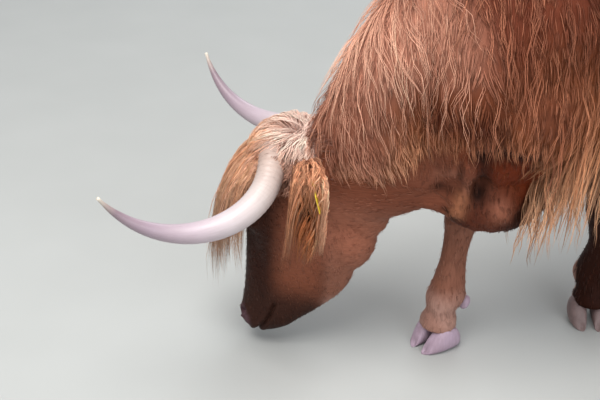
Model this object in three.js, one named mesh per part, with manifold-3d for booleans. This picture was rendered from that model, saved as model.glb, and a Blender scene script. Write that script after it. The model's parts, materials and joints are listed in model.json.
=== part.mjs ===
// Highland cow, life size, grazing: the body stands square along Y and the neck is swung to its right.
// Frame: millimetres, +Z up, the body faces -Y with its left side towards +X, floor at Z = 0.
// Every size is taken at the outside of the coat, where the tips of the hair end.
import * as THREE from "three";
import { mergeVertices } from "three/addons/utils/BufferGeometryUtils.js";
import Module from "manifold-3d";

const wasm = await Module();
wasm.setup();

// ---- Driving dimensions -------------------------------------------------------------------
const gap = 0.5; // clearance between pieces that meet
const withersHeight = 1180;
const croupHeight = 1160;
const chestFloor = 388; // lower edge of the coat behind the forelegs
const fringeHeight = 388; // tips of the belly fringe
const trunkHalfWidth = 335;
const trunkFront = -395;
const trunkBack = 1120;
const poll = { x: -359, y: -461, z: 527 }; // middle of the skull between the horns
const headTurn = { yaw: -52.5, pitch: -6.4, roll: 3.05 }; // degrees about Z, X and Y
const headLength = 500; // from the poll point down to the end of the muzzle
const foreheadHalfWidth = 112;
const muzzleHalfWidth = 70;
const hornRadius = 28;
const hornTip = 2.5;
const eyeRadius = 20;
const kneeHeight = 335;
const hockHeight = 440;
const fetlockHeight = 128;
const coronetHeight = 64;
const clawLength = 112;
const clawHalfWidth = 26;
const frontFeet = {
  left: { x: 34, y: 189, yaw: 48 },
  right: { x: -126, y: -182, yaw: -4 },
};
const backFeet = {
  left: { x: 152, y: 1010, yaw: 8 },
  right: { x: -150, y: 860, yaw: -8 },
};

const up = new THREE.Vector3(0, 0, 1);
const down = new THREE.Vector3(0, 0, -1);
const backward = new THREE.Vector3(0, 1, 0);
const forward = new THREE.Vector3(0, -1, 0);
const radians = THREE.MathUtils.degToRad;
const vec = (x, y, z) => new THREE.Vector3(x, y, z);

// ---- Shape tools --------------------------------------------------------------------------

// A smooth curve through a list of vectors, read by a share from 0 to 1 with one share per station.
function through(list) {
  const curve = new THREE.CatmullRomCurve3(list, false, "catmullrom", 0.5);
  return (share) => curve.getPoint(share);
}

// One ring of a loft: an egg with its own half width and its own heights above and below the middle.
function ring(centre, tangent, lift, size, { sides, grow, square, floor }) {
  const side = vec(0, 0, 0).crossVectors(tangent, lift).normalize();
  const rise = vec(0, 0, 0).crossVectors(side, tangent).normalize();
  const power = 2 / square;
  const round = (value) => Math.sign(value) * Math.abs(value) ** power;
  return Array.from({ length: sides }, (_, i) => {
    const angle = (2 * Math.PI * i) / sides;
    const height = Math.sin(angle) > 0 ? size.y : size.z;
    const point = centre
      .clone()
      .addScaledVector(side, (size.x + grow) * round(Math.cos(angle)))
      .addScaledVector(rise, (height + grow) * round(Math.sin(angle)));
    if (floor !== undefined) point.z = Math.max(point.z, floor);
    return point;
  });
}

// A closed loft. A station is [centre, half width, height above, height below].
// Its rings stand square to the line of centres, or to the direction `along` where one is given.
function loft(stations, options = {}) {
  const set = { rings: 12, sides: 16, grow: 0, square: 2, lift: up, ...options };
  const { sides, rings } = set;
  const centreAt = through(stations.map(([at]) => at));
  const sizeAt = through(stations.map(([, wide, above, below]) => vec(wide, above, below)));
  const points = [];
  for (let i = 0; i <= set.rings; i++) {
    const share = i / set.rings;
    const reach = 0.25 / set.rings;
    const ahead = centreAt(Math.min(1, share + reach)).sub(centreAt(Math.max(0, share - reach)));
    const tangent = (set.along ?? ahead).clone().normalize();
    const end = (i === rings) - (i === 0); // a grown loft is longer too
    const centre = centreAt(share).addScaledVector(tangent, end * set.grow);
    points.push(...ring(centre, tangent, set.lift, sizeAt(share), set));
  }
  const faces = [];
  for (let i = 0; i < rings; i++)
    for (let j = 0; j < sides; j++) {
      const [a, b] = [i * sides + j, i * sides + ((j + 1) % sides)];
      faces.push(a, b, b + sides, a, b + sides, a + sides);
    }
  for (let j = 1; j < sides - 1; j++) {
    const last = rings * sides;
    faces.push(0, j + 1, j, last, last + j, last + j + 1);
  }
  return geometryOf(points, faces);
}

function geometryOf(points, faces) {
  const geometry = new THREE.BufferGeometry();
  geometry.setAttribute("position", new THREE.Float32BufferAttribute(points.flatMap((p) => p.toArray()), 3));
  geometry.setIndex(faces);
  return geometry;
}

// An ellipsoid set at a place, turned by degrees about X, Y and Z.
function ellipsoid(at, half, turn = [0, 0, 0], grow = 0, around = 12) {
  const geometry = new THREE.SphereGeometry(1, around, Math.round(around * 0.65));
  geometry.scale(...half.map((value) => value + grow));
  geometry.applyMatrix4(new THREE.Matrix4().makeRotationFromEuler(new THREE.Euler(...turn.map(radians))));
  return geometry.translate(at.x, at.y, at.z);
}

// A closed three.js geometry as a solid, moved by a matrix if there is one.
function solid(geometry, matrix) {
  const bare = geometry.clone();
  bare.deleteAttribute("normal");
  bare.deleteAttribute("uv");
  if (matrix) bare.applyMatrix4(matrix);
  const merged = mergeVertices(bare, 1e-3);
  const triVerts = new Uint32Array(merged.index.array);
  const mesh = new wasm.Mesh({ numProp: 3, vertProperties: merged.attributes.position.array, triVerts });
  const made = new wasm.Manifold(mesh);
  if (made.volume() > 0) return made;
  for (let i = 0; i < triVerts.length; i += 3) [triVerts[i + 1], triVerts[i + 2]] = [triVerts[i + 2], triVerts[i + 1]];
  return new wasm.Manifold(new wasm.Mesh({ numProp: 3, vertProperties: mesh.vertProperties, triVerts }));
}

const join = (...pieces) => pieces.reduce((all, piece) => all.add(piece));
const cut = (piece, ...tools) => tools.reduce((left, tool) => left.subtract(tool), piece);

// The largest body of a solid, so that no stray sliver is left after a cut.
function largest(piece) {
  return piece.decompose().reduce((a, b) => (b.volume() > a.volume() ? b : a));
}

// ---- Materials ----------------------------------------------------------------------------
const paint = (color, roughness) => new THREE.MeshStandardMaterial({ color, roughness, metalness: 0 });
const materials = {
  coat: paint(0x8e4f33, 0.85),
  forelock: paint(0xb5703f, 0.8),
  horn: paint(0xe3d3cb, 0.4),
  hoof: paint(0x9c8b90, 0.5),
  eye: paint(0x1d120d, 0.1),
  tag: paint(0xe2c500, 0.45),
};

const cow = new THREE.Group();
function place(name, piece, material, parent = cow) {
  const mesh = largest(piece).getMesh();
  const geometry = new THREE.BufferGeometry();
  const positions = [];
  for (let i = 0; i < mesh.numVert; i++) positions.push(...mesh.vertProperties.slice(i * mesh.numProp, i * mesh.numProp + 3));
  geometry.setAttribute("position", new THREE.Float32BufferAttribute(positions, 3));
  geometry.setIndex(Array.from(mesh.triVerts));
  geometry.computeVertexNormals();
  const shown = new THREE.Mesh(geometry, material);
  shown.name = name;
  parent.add(shown);
  return shown;
}

// ---- Trunk --------------------------------------------------------------------------------
// Stations down the back: distance from the withers, height of the back, lower edge and half width.
const trunkRows = [
  [trunkFront, 850, 600, 70],
  [-330, 960, 500, 165],
  [-200, 1085, chestFloor + 50, 235],
  [-30, withersHeight, chestFloor, 275],
  [180, withersHeight - 20, fringeHeight + 4, 312],
  [420, 1135, fringeHeight, trunkHalfWidth],
  [660, 1135, fringeHeight + 15, trunkHalfWidth],
  [860, croupHeight, 430, 315],
  [1010, croupHeight - 25, 560, 270],
  [trunkBack - 20, 1050, 680, 175],
  [trunkBack, 960, 760, 90],
];

function trunkCore(grow) {
  const stations = trunkRows.map(([y, top, bottom, wide]) => {
    const middle = bottom + 0.47 * (top - bottom);
    return [vec(0, y, middle), wide, top - middle, middle - bottom];
  });
  return solid(loft(stations, { rings: 13, sides: 20, square: 2.3, along: backward, grow }));
}

// Shoulder blade and upper arm, which swell out of the chest; the point of the shoulder leads.
function forequarter(side, grow) {
  const blade = ellipsoid(vec(side * 140, -95, 890), [104, 150, 225], [-30, 0, 0], grow);
  const arm = ellipsoid(vec(side * 148, -135, 690), [106, 165, 150], [30, 0, 0], grow);
  return join(solid(blade), solid(arm));
}

// Thigh, from the hip down to the stifle and back to the gaskin.
function hindquarter(side, foot, grow) {
  const swing = 0.35 * (foot.y - 950);
  const stations = [
    [vec(side * 128, 900, 1030), 80, 100, 100],
    [vec(side * 185, 930, 900), 118, 185, 150],
    [vec(side * 190, 915 + swing / 2, 740), 112, 190, 155],
    [vec(side * 180, 925 + swing, 600), 82, 135, 105],
    [vec(side * 168, 965 + swing, 520), 55, 80, 70],
  ];
  return solid(loft(stations, { rings: 6, sides: 12, lift: forward, along: down, grow }));
}

function trunk(grow = 0) {
  return join(
    trunkCore(grow),
    forequarter(1, grow),
    forequarter(-1, grow),
    hindquarter(1, backFeet.left, grow),
    hindquarter(-1, backFeet.right, grow),
  );
}

const trunkSolid = trunk();
const trunkTool = trunk(gap);
place("trunk", trunkSolid, materials.coat);

// ---- Head, in its own frame: X to its left, Y towards the nape, Z from muzzle to poll ------
const headGroup = new THREE.Group();
headGroup.position.set(poll.x, poll.y, poll.z);
headGroup.rotation.set(radians(headTurn.pitch), radians(headTurn.roll), radians(headTurn.yaw), "ZXY");
cow.add(headGroup);
headGroup.updateMatrix();
const fromHead = headGroup.matrix;
const toHead = fromHead.clone().invert();

// Stations down the face: height, front of the face, back of the jaw and half width.
const headRows = [
  [34, -16, 26, 58],
  [14, -54, 66, 94],
  [-40, -82, 104, 108],
  [-110, -90, 132, foreheadHalfWidth],
  [-185, -82, 160, 102],
  [-260, -74, 194, 88],
  [-335, -70, 186, 74],
  [-400, -70, 140, 66],
  [-455, -72, 80, muzzleHalfWidth],
  [-485, -58, 48, 58],
  [-headLength, -34, 26, 34],
];

function headSolid(grow = 0) {
  const stations = headRows.map(([z, front, back, wide]) => {
    const middle = front + 0.42 * (back - front);
    return [vec(0, middle, z), wide, back - middle, middle - front];
  });
  return solid(loft(stations, { rings: 16, sides: 16, square: 2.35, lift: backward, along: down, grow }));
}

const eyePlace = (side) => vec(side * 88, -46, -150);
const eyeSolid = (side, grow) => solid(ellipsoid(eyePlace(side), [eyeRadius, eyeRadius, eyeRadius], [0, 0, 0], grow, 10));
const eyeSocket = (side) => solid(ellipsoid(vec(side * 103, -62, -150), [17, 19, 15]));

// ---- Horns: out and down from the poll, then forward, with the tips rising ------------------
const hornLine = (side) =>
  new THREE.CubicBezierCurve3(
    vec(side * 62, -18, 15),
    vec(side * 268, 66, -56),
    vec(side * 282, -190, -198),
    vec(side * 380, -306, 0),
  );

function hornSolid(side, grow = 0) {
  const line = hornLine(side);
  const count = 12;
  const stations = Array.from({ length: count + 1 }, (_, i) => {
    const share = i / count;
    const radius = hornRadius * (1 - share ** 2.6) + hornTip;
    return [line.getPoint(share), radius, radius, radius];
  });
  return solid(loft(stations, { rings: 15, sides: 10, lift: vec(0, 0.3, 1), grow }));
}

// ---- Forelock: a thick fringe from the poll, hanging clear of the face ----------------------
function forelockSolid() {
  const stations = [
    [vec(0, 40, 20), 56, 28, 24],
    [vec(0, -12, 26), 84, 28, 28],
    [vec(0, -66, 2), 104, 42, 38],
    [vec(0, -96, -70), 106, 42, 38],
    [vec(0, -118, -150), 98, 40, 36],
    [vec(0, -134, -230), 84, 36, 34],
    [vec(0, -138, -310), 60, 28, 27],
    [vec(0, -132, -388), 24, 13, 13],
  ];
  return solid(loft(stations, { rings: 10, sides: 14, square: 2.1, lift: vec(0, 1, 0.4) }));
}

// ---- Ears: they droop back and down, with long hair hanging from the front rim --------------
function earSolid(side) {
  const blade = loft(
    [
      [vec(side * 88, 50, -22), 24, 22, 20],
      [vec(side * 130, 66, 16), 40, 28, 26],
      [vec(side * 162, 96, -16), 50, 32, 30],
      [vec(side * 172, 112, -78), 48, 30, 30],
      [vec(side * 170, 120, -130), 32, 22, 22],
      [vec(side * 164, 126, -172), 10, 9, 9],
    ],
    { rings: 7, sides: 10, lift: vec(side, 0.2, 0) },
  );
  const fringe = loft(
    [
      [vec(side * 134, 60, 6), 26, 18, 18],
      [vec(side * 156, 70, -60), 32, 22, 20],
      [vec(side * 160, 76, -140), 28, 20, 20],
      [vec(side * 158, 82, -212), 10, 8, 8],
    ],
    { rings: 5, sides: 8, lift: vec(side, 0, 0) },
  );
  return join(solid(blade), solid(fringe));
}

// The tag hangs in the hollow of the left ear: a flat blank plate, wider below, on a round stud.
function tagSolid(grow = 0) {
  const outline = new THREE.Shape();
  outline.moveTo(-9 - grow, 0);
  outline.lineTo(-22 - grow, -22);
  outline.lineTo(-24 - grow, -62 - grow);
  outline.lineTo(24 + grow, -62 - grow);
  outline.lineTo(22 + grow, -22);
  outline.lineTo(9 + grow, 0);
  outline.absarc(0, 0, 9 + grow, 0, Math.PI);
  const plate = new THREE.ExtrudeGeometry(outline, { depth: 2 + 2 * grow, bevelEnabled: false, curveSegments: 6 });
  const stud = new THREE.CylinderGeometry(7 + grow, 7 + grow, 8 + 2 * grow, 12);
  return join(solid(plate.translate(0, 0, -1 - grow)), solid(stud.rotateX(Math.PI / 2)));
}

const earHollow = (side) => solid(ellipsoid(vec(side * 206, 117, -2), [46, 22, 46], [0, 0, 0], 0, 8));

// ---- Neck and dewlap ----------------------------------------------------------------------
const inBody = (x, y, z) => vec(x, y, z).applyMatrix4(fromHead);

function neckSolid(grow = 0) {
  const stations = [
    [vec(-304, -420, 402), 80, 100, 100],
    [vec(-260, -392, 462), 100, 134, 150],
    [vec(-188, -346, 564), 120, 166, 205],
    [vec(-114, -290, 668), 144, 204, 226],
    [vec(-48, -212, 766), 172, 246, 252],
    [vec(-5, -100, 845), 195, 268, 265],
  ];
  const throat = solid(ellipsoid(vec(0, 162, -196), [74, 84, 96], [0, 0, 0], grow));
  return join(
    solid(loft(stations, { rings: 9, sides: 16, square: 2.15, grow })),
    throat.transform(fromHead.elements),
  );
}

// Loose skin under the throat that deepens into the brisket between the forelegs.
function dewlapSolid() {
  const stations = [
    [inBody(0, 105, -300), 34, 60, 34],
    [inBody(0, 150, -215), 46, 90, 74],
    [vec(-148, -334, 452), 52, 110, 72],
    [vec(-72, -298, 458), 60, 130, 36],
    [vec(-40, -268, 455), 66, 134, 38],
    [vec(-6, -232, 450), 72, 140, 76],
    [vec(28, -150, 452), 82, 120, 96],
    [vec(48, -80, 450), 82, 90, 110],
    [vec(46, 0, 462), 60, 70, 66],
    [vec(30, 60, 480), 26, 40, 40],
  ];
  return solid(loft(stations, { rings: 14, sides: 14, lift: vec(0.2, 0, 1) }));
}

// ---- Legs and feet ------------------------------------------------------------------------
const footMatrix = (foot) =>
  new THREE.Matrix4().makeRotationZ(radians(foot.yaw)).setPosition(foot.x, foot.y, 0);

// Fetlock, pastern and coronet, which follow the turn of the foot.
function ankle(foot) {
  const matrix = footMatrix(foot);
  const at = (back, height) => vec(0, back, height).applyMatrix4(matrix);
  return [
    [at(22, fetlockHeight), 50, 48, 54],
    [at(10, 98), 44, 42, 46],
    [at(2, coronetHeight), 54, 44, 50],
    [at(0, coronetHeight - 16), 52, 46, 50],
  ];
}

function foreleg(side, foot, knee, grow = 0) {
  const elbow = vec(side * 150, knee.y * 0.4 - 10, 610);
  const forearm = elbow.clone().lerp(knee, 0.55);
  const cannon = knee.clone().lerp(vec(foot.x, foot.y + 18, fetlockHeight), 0.5);
  const stations = [
    [elbow, 84, 96, 96],
    [forearm, 60, 64, 70],
    [knee, 50, 50, 50],
    [cannon, 36, 38, 44],
    ...ankle(foot),
  ];
  return solid(loft(stations, { rings: 14, sides: 10, lift: forward, along: down, grow }));
}

function hindleg(side, foot, grow = 0) {
  const swing = 0.35 * (foot.y - 950);
  const hock = vec(foot.x, foot.y + 66, hockHeight);
  const stations = [
    [vec(side * 182, 925 + swing, 690), 70, 100, 90],
    [vec(side * 168, 975 + swing, 545), 60, 82, 72],
    [hock, 45, 56, 58],
    [vec(foot.x, foot.y + 46, 290), 37, 40, 44],
    ...ankle(foot),
  ];
  return solid(loft(stations, { rings: 14, sides: 10, lift: forward, along: down, grow }));
}

// One claw: flat below, domed above, with a sloping toe. It stands to one side of the cleft.
function claw(side) {
  const toe = -0.54 * clawLength;
  const rows = [
    [toe, 6, 10],
    [toe + 10, 16, 28],
    [toe + 34, 24, 54],
    [toe + 60, clawHalfWidth, coronetHeight + 4],
    [toe + 88, 23, 52],
    [toe + clawLength, 12, 26],
  ];
  const stations = rows.map(([y, wide, top]) => {
    const taper = 0.035 * Math.abs(y - 10) * (y < 10 ? 1 : 0.4);
    return [vec(side * (clawHalfWidth + 3 - taper), y, 0), wide, top, 3];
  });
  return loft(stations, { rings: 6, sides: 10, square: 2.3, along: backward, floor: 0 });
}

const dewclaw = (side) => ellipsoid(vec(side * 22, 66, 104), [13, 15, 19], [-25, 0, 0], 0, 8);

const bothSides = [["left", 1], ["right", -1]];

function placeFoot(name, foot, leg) {
  const group = new THREE.Group();
  group.position.set(foot.x, foot.y, 0);
  group.rotation.z = radians(foot.yaw);
  cow.add(group);
  const legHere = leg.transform(footMatrix(foot).invert().elements);
  for (const [which, side] of bothSides) {
    place(`hoof_${name}_${which}`, cut(solid(claw(side)), legHere), materials.hoof, group);
    place(`dewclaw_${name}_${which}`, cut(solid(dewclaw(side)), legHere), materials.hoof, group);
  }
}

const knees = {
  left: vec(78, 151, kneeHeight),
  right: vec(-111, -133, kneeHeight - 3),
};

const legTools = [];
for (const [name, side] of bothSides) {
  const front = (grow) => foreleg(side, frontFeet[name], knees[name], grow);
  const back = (grow) => hindleg(side, backFeet[name], grow);
  place(`leg_front_${name}`, cut(front(0), trunkTool), materials.coat);
  place(`leg_back_${name}`, cut(back(0), trunkTool), materials.coat);
  placeFoot(`front_${name}`, frontFeet[name], front(gap));
  placeFoot(`back_${name}`, backFeet[name], back(gap));
  legTools.push(front(gap));
}

// ---- Head, neck and what they carry -------------------------------------------------------
const headTool = headSolid(gap);
const headInBody = headTool.transform(fromHead.elements);
const neckTool = neckSolid(gap);
const neckAtHead = neckTool.transform(toHead.elements);
const hornTools = [hornSolid(1, gap), hornSolid(-1, gap)];

const hornsInBody = hornTools.map((horn) => horn.transform(fromHead.elements));
place("neck", cut(neckSolid(), trunkTool, headInBody, ...hornsInBody), materials.coat);
place("dewlap", cut(dewlapSolid(), trunkTool, neckTool, headInBody, ...legTools), materials.coat);
const sockets = [1, -1].map((side) => join(eyeSocket(side), eyeSolid(side, gap)));
place("head", cut(headSolid(), ...sockets), materials.coat, headGroup);
place("forelock", cut(forelockSolid(), headTool, neckAtHead, ...hornTools), materials.forelock, headGroup);

const tagGroup = new THREE.Group();
tagGroup.position.set(186, 108, 26);
tagGroup.rotation.set(radians(110), radians(10), 0);
tagGroup.updateMatrix();
headGroup.add(tagGroup);
place("ear_tag", tagSolid(), materials.tag, tagGroup);
const tagTool = tagSolid(gap).transform(tagGroup.matrix.elements);

for (const [name, side] of bothSides) {
  const hollow = side > 0 ? join(earHollow(side), tagTool) : earHollow(side);
  const ear = cut(earSolid(side), headTool, neckAtHead, hollow, ...hornTools);
  place(`ear_${name}`, ear, materials.coat, headGroup);
  place(`eye_${name}`, eyeSolid(side, 0), materials.eye, headGroup);
  place(`horn_${name}`, cut(hornSolid(side), headTool), materials.horn, headGroup);
}

// ---- Tail ---------------------------------------------------------------------------------
const dockEnd = 640;
function dock(grow = 0) {
  const stations = [
    [vec(0, 1030, 1072), 40, 40, 40],
    [vec(0, 1116, 1056), 42, 40, 40],
    [vec(0, 1160, 960), 38, 36, 36],
    [vec(0, 1166, 800), 32, 32, 32],
    [vec(0, 1160, dockEnd), 32, 32, 32],
  ];
  return solid(loft(stations, { rings: 8, sides: 10, lift: vec(0, 1, 0.6), grow }));
}
const switchStations = [
  [vec(0, 1160, dockEnd + 4), 33, 33, 33],
  [vec(0, 1160, 560), 58, 50, 50],
  [vec(0, 1162, 430), 66, 56, 56],
  [vec(0, 1166, 330), 50, 42, 42],
  [vec(0, 1170, 235), 8, 8, 8],
];
const tailSwitch = loft(switchStations, { rings: 8, sides: 10, lift: vec(0, 1, 0), along: down });
place("tail", cut(dock(), trunkTool), materials.coat);
place("tail_switch", cut(solid(tailSwitch), dock(gap)), materials.coat);

// The origin is on the floor, under the middle of the whole animal.
cow.updateMatrixWorld(true);
const reach = new THREE.Box3().setFromObject(cow, true);
const middle = reach.getCenter(vec(0, 0, 0));
cow.position.set(-middle.x, -middle.y, -reach.min.z);

export default cow;
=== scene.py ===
import json
import math

import bmesh
import bpy
import numpy as np
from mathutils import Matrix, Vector
from mathutils.bvhtree import BVHTree

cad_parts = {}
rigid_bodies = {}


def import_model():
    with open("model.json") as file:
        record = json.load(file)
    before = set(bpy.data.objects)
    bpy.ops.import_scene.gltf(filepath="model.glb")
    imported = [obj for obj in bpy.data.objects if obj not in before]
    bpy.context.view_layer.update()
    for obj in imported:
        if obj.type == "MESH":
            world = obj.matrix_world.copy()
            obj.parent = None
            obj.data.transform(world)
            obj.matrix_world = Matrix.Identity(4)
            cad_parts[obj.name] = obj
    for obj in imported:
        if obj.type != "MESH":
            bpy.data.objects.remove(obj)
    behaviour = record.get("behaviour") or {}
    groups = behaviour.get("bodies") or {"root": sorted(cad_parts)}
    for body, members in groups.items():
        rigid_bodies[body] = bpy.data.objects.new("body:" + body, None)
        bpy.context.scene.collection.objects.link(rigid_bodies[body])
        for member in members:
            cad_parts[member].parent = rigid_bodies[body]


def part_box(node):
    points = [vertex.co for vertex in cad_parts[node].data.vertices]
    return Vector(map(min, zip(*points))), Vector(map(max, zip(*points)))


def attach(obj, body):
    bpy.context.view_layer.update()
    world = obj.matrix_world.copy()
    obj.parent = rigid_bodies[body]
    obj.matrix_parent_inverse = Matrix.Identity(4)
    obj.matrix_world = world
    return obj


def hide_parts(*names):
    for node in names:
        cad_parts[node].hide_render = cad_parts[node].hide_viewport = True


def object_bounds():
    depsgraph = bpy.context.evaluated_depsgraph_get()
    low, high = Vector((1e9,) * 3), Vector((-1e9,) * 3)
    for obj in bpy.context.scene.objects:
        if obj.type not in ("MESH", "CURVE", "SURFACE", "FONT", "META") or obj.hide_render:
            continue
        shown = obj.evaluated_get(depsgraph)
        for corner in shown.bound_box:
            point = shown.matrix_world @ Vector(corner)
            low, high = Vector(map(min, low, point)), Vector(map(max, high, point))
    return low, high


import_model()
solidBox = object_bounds()
dice = np.random.default_rng(17)

# Places are in metres: X to the cow's left, Y towards the tail, Z up from the floor, with zero under the
# withers.


def turn(x=0, y=0, z=0):
    # the axes of something that is turned by so many degrees about Y, then X, then Z
    angles = [math.radians(a) for a in (x, y, z)]
    (cx, sx), (cy, sy), (cz, sz) = [(math.cos(a), math.sin(a)) for a in angles]
    aboutX = np.array([[1, 0, 0], [0, cx, -sx], [0, sx, cx]])
    aboutY = np.array([[cy, 0, sy], [0, 1, 0], [-sy, 0, cy]])
    aboutZ = np.array([[cz, -sz, 0], [sz, cz, 0], [0, 0, 1]])
    return aboutZ @ aboutX @ aboutY


def boxMiddle(node):
    low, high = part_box(node)
    return (np.array(low) + np.array(high)) / 2


pose = {
    "headTurn": (-6.4, 3.05, -52.5),   # degrees about X, Y and Z
    "poll": (-0.359, -0.461, 0.527),   # top of the skull
    "eye": (0.088, -0.046, -0.150),    # left eye, seen from the poll in the head's own frame
}
headAxes = turn(*pose["headTurn"])
eyeMiddle = (boxMiddle("eye_left") + boxMiddle("eye_right")) / 2
poll = np.array(pose["poll"])
headPlace = eyeMiddle - headAxes @ np.array([0, pose["eye"][1], pose["eye"][2]])
withers = headPlace - poll


def fromHead(points):
    return np.asarray(points) @ headAxes.T + poll


def toHead(points):
    return (np.asarray(points) - poll) @ headAxes


def unit(vectors):
    vectors = np.asarray(vectors, float)
    return vectors / (np.linalg.norm(vectors, axis=-1, keepdims=True) + 1e-12)


def ease(low, high, value):
    share = np.clip((np.asarray(value, float) - low) / (high - low), 0, 1)
    return share * share * (3 - 2 * share)


def bell(value, middle, width):
    return np.exp(-(((np.asarray(value) - middle) / width) ** 2))


def ripple(points, size, seed=0):
    # smooth noise from about -1 to 1, made of a few slanted waves
    waves = np.random.default_rng(seed)
    total = 0
    for _ in range(5):
        way = unit(waves.normal(size=3)) * 2 * math.pi / size * waves.uniform(0.6, 1.5)
        total = total + np.sin(points @ way + waves.uniform(0, 6.28))
    return total / 3.2


view = {
    "place": (1.894, -2.241, 1.843), "azimuth": 51.03, "elevation": 26.90, "lens": 83.54, "sensor": 36,
}
cameraData = bpy.data.cameras.new("camera")
cameraData.lens = view["lens"]
cameraData.sensor_width = view["sensor"]
camera = bpy.data.objects.new("camera", cameraData)
bpy.context.scene.collection.objects.link(camera)
camera.location = Vector(view["place"]) + Vector(withers)
camera.rotation_euler = (math.radians(90 - view["elevation"]), 0, math.radians(view["azimuth"]))
bpy.context.scene.camera = camera

studio = {
    "sky": (0.88, 0.90, 0.93), "skyPower": 0.62, "floor": ((0.40, 0.41, 0.40), (0.44, 0.45, 0.44)),
    "lamps": {   # place, target, size, power and colour
        "key": ((0.6, -2.2, 4.4), (0, -0.3, 0.6), 3.0, 250, (1, 0.98, 0.95)),
        "fill": ((3.6, -0.8, 1.8), (0, 0, 0.6), 2.5, 55, (0.95, 0.97, 1)),
        "back": ((-2.5, 3.0, 3.2), (0, 0.2, 0.8), 2.5, 70, (0.95, 0.98, 1)),
    },
}


def areaLight(name, place, target, size, power, colour):
    data = bpy.data.lights.new(name, "AREA")
    data.energy, data.size, data.color = power, size, colour
    lamp = bpy.data.objects.new(name, data)
    lamp.location = place
    lamp.rotation_euler = (Vector(target) - Vector(place)).to_track_quat("-Z", "Y").to_euler()
    bpy.context.scene.collection.objects.link(lamp)


for lampName, lampPlan in studio["lamps"].items():
    areaLight(lampName, *lampPlan)
bpy.context.scene.view_settings.view_transform = "Standard"
world = bpy.data.worlds.new("studio")
bpy.context.scene.world = world
world.use_nodes = True
world.node_tree.nodes["Background"].inputs["Color"].default_value = (*studio["sky"], 1)
world.node_tree.nodes["Background"].inputs["Strength"].default_value = studio["skyPower"]


class Wire:
    # a shader socket that can be reckoned with

    def __init__(self, tree, socket):
        self.tree, self.socket = tree, socket

    def reckon(self, operation, first, second):
        node = self.tree.nodes.new("ShaderNodeMath")
        node.operation = operation
        plug(self.tree, first, node.inputs[0])
        plug(self.tree, second, node.inputs[1])
        return Wire(self.tree, node.outputs[0])

    def __add__(self, other):
        return self.reckon("ADD", self, other)

    def __radd__(self, other):
        return self.reckon("ADD", other, self)

    def __sub__(self, other):
        return self.reckon("SUBTRACT", self, other)

    def __rsub__(self, other):
        return self.reckon("SUBTRACT", other, self)

    def __mul__(self, other):
        return self.reckon("MULTIPLY", self, other)

    def __rmul__(self, other):
        return self.reckon("MULTIPLY", other, self)


def plug(tree, value, slot):
    if isinstance(value, Wire):
        tree.links.new(value.socket, slot)
    elif isinstance(value, (tuple, list)) and len(value) == 3 and slot.type == "RGBA":
        slot.default_value = (*value, 1)
    else:
        slot.default_value = value


class Finish:
    # one material: a Principled shader and the nodes that feed it

    def __init__(self, name, **shader):
        self.material = bpy.data.materials.new(name)
        self.material.use_nodes = True
        self.tree = self.material.node_tree
        self.shader = self.tree.nodes["Principled BSDF"]
        self.set(**shader)

    def set(self, **values):
        for key, value in values.items():
            plug(self.tree, value, self.shader.inputs[key.replace("_", " ")])

    def node(self, kind, settings=None, inputs=None, output=0):
        made = self.tree.nodes.new("ShaderNode" + kind)
        for key, value in (settings or {}).items():
            if key == "stops":
                ramp = made.color_ramp   # has stops at both ends from the start
                for place, _ in value[1:-1]:
                    ramp.elements.new(place)
                for element, (place, colour) in zip(ramp.elements, value):
                    element.position, element.color = place, (*colour, 1)
            else:
                setattr(made, key, value)
        for key, value in (inputs or {}).items():
            plug(self.tree, value, made.inputs[key])
        return Wire(self.tree, made.outputs[output])

    def place(self):
        return self.node("TexCoord", output="Object")

    def attribute(self, name, output=0):
        # output 0 is a colour and output 2 a number
        return self.node("Attribute", {"attribute_name": name}, output=output)

    def stretched(self, scale, place=None):
        return self.node("Mapping", inputs={"Vector": place or self.place(), "Scale": scale})

    def noise(self, scale, detail=3.0, roughness=0.55, vector=None):
        return self.node("TexNoise", inputs={"Scale": scale, "Detail": detail, "Roughness": roughness,
                                             "Vector": vector or self.place()})

    def mix(self, share, first, second, blend="MIX"):
        return self.node("Mix", {"data_type": "RGBA", "blend_type": blend},
                         {"Factor": share, 6: first, 7: second}, output=2)

    def bump(self, height, strength, distance):
        inputs = {"Height": height, "Strength": strength, "Distance": distance}
        self.set(Normal=self.node("Bump", inputs=inputs))


def tone(code):
    # an sRGB colour code as linear values
    parts = [int(code[i:i + 2], 16) / 255 for i in (0, 2, 4)]
    return tuple(p / 12.92 if p <= 0.04045 else ((p + 0.055) / 1.055) ** 2.4 for p in parts)


def floorFinish():
    finish = Finish("pale_floor", Roughness=0.9)
    finish.set(Base_Color=finish.mix(finish.noise(3.0, 2.0), *studio["floor"]))
    return finish.material


bpy.ops.mesh.primitive_plane_add(size=40, location=(0, 0, solidBox[0][2]))
floor = bpy.context.object
floor.name = "floor"
floor.data.materials.append(floorFinish())
print("camera, light and floor")


def through(values, share):
    # a smooth path through values, at shares from 0 to 1
    values = np.asarray(values, float)
    last = len(values) - 1
    place = np.clip(np.asarray(share, float), 0, 1) * last
    index = np.minimum(place.astype(int), last - 1)
    f = (place - index)[:, None]
    p1, p2 = values[index], values[index + 1]
    p0 = np.where((index > 0)[:, None], values[np.maximum(index - 1, 0)], 2 * p1 - p2)
    p3 = np.where((index < last - 1)[:, None], values[np.minimum(index + 2, last)], 2 * p2 - p1)
    return p1 + 0.5 * f * (p2 - p0 + f * (2 * p0 - 5 * p1 + 4 * p2 - p3 + f * (3 * (p1 - p2) + p3 - p0)))


def bezier(a, b, c, d, t):
    # a curve from a to d, drawn towards b and c
    return (1 - t) ** 3 * a + 3 * (1 - t) ** 2 * t * b + 3 * (1 - t) * t ** 2 * c + t ** 3 * d


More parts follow.
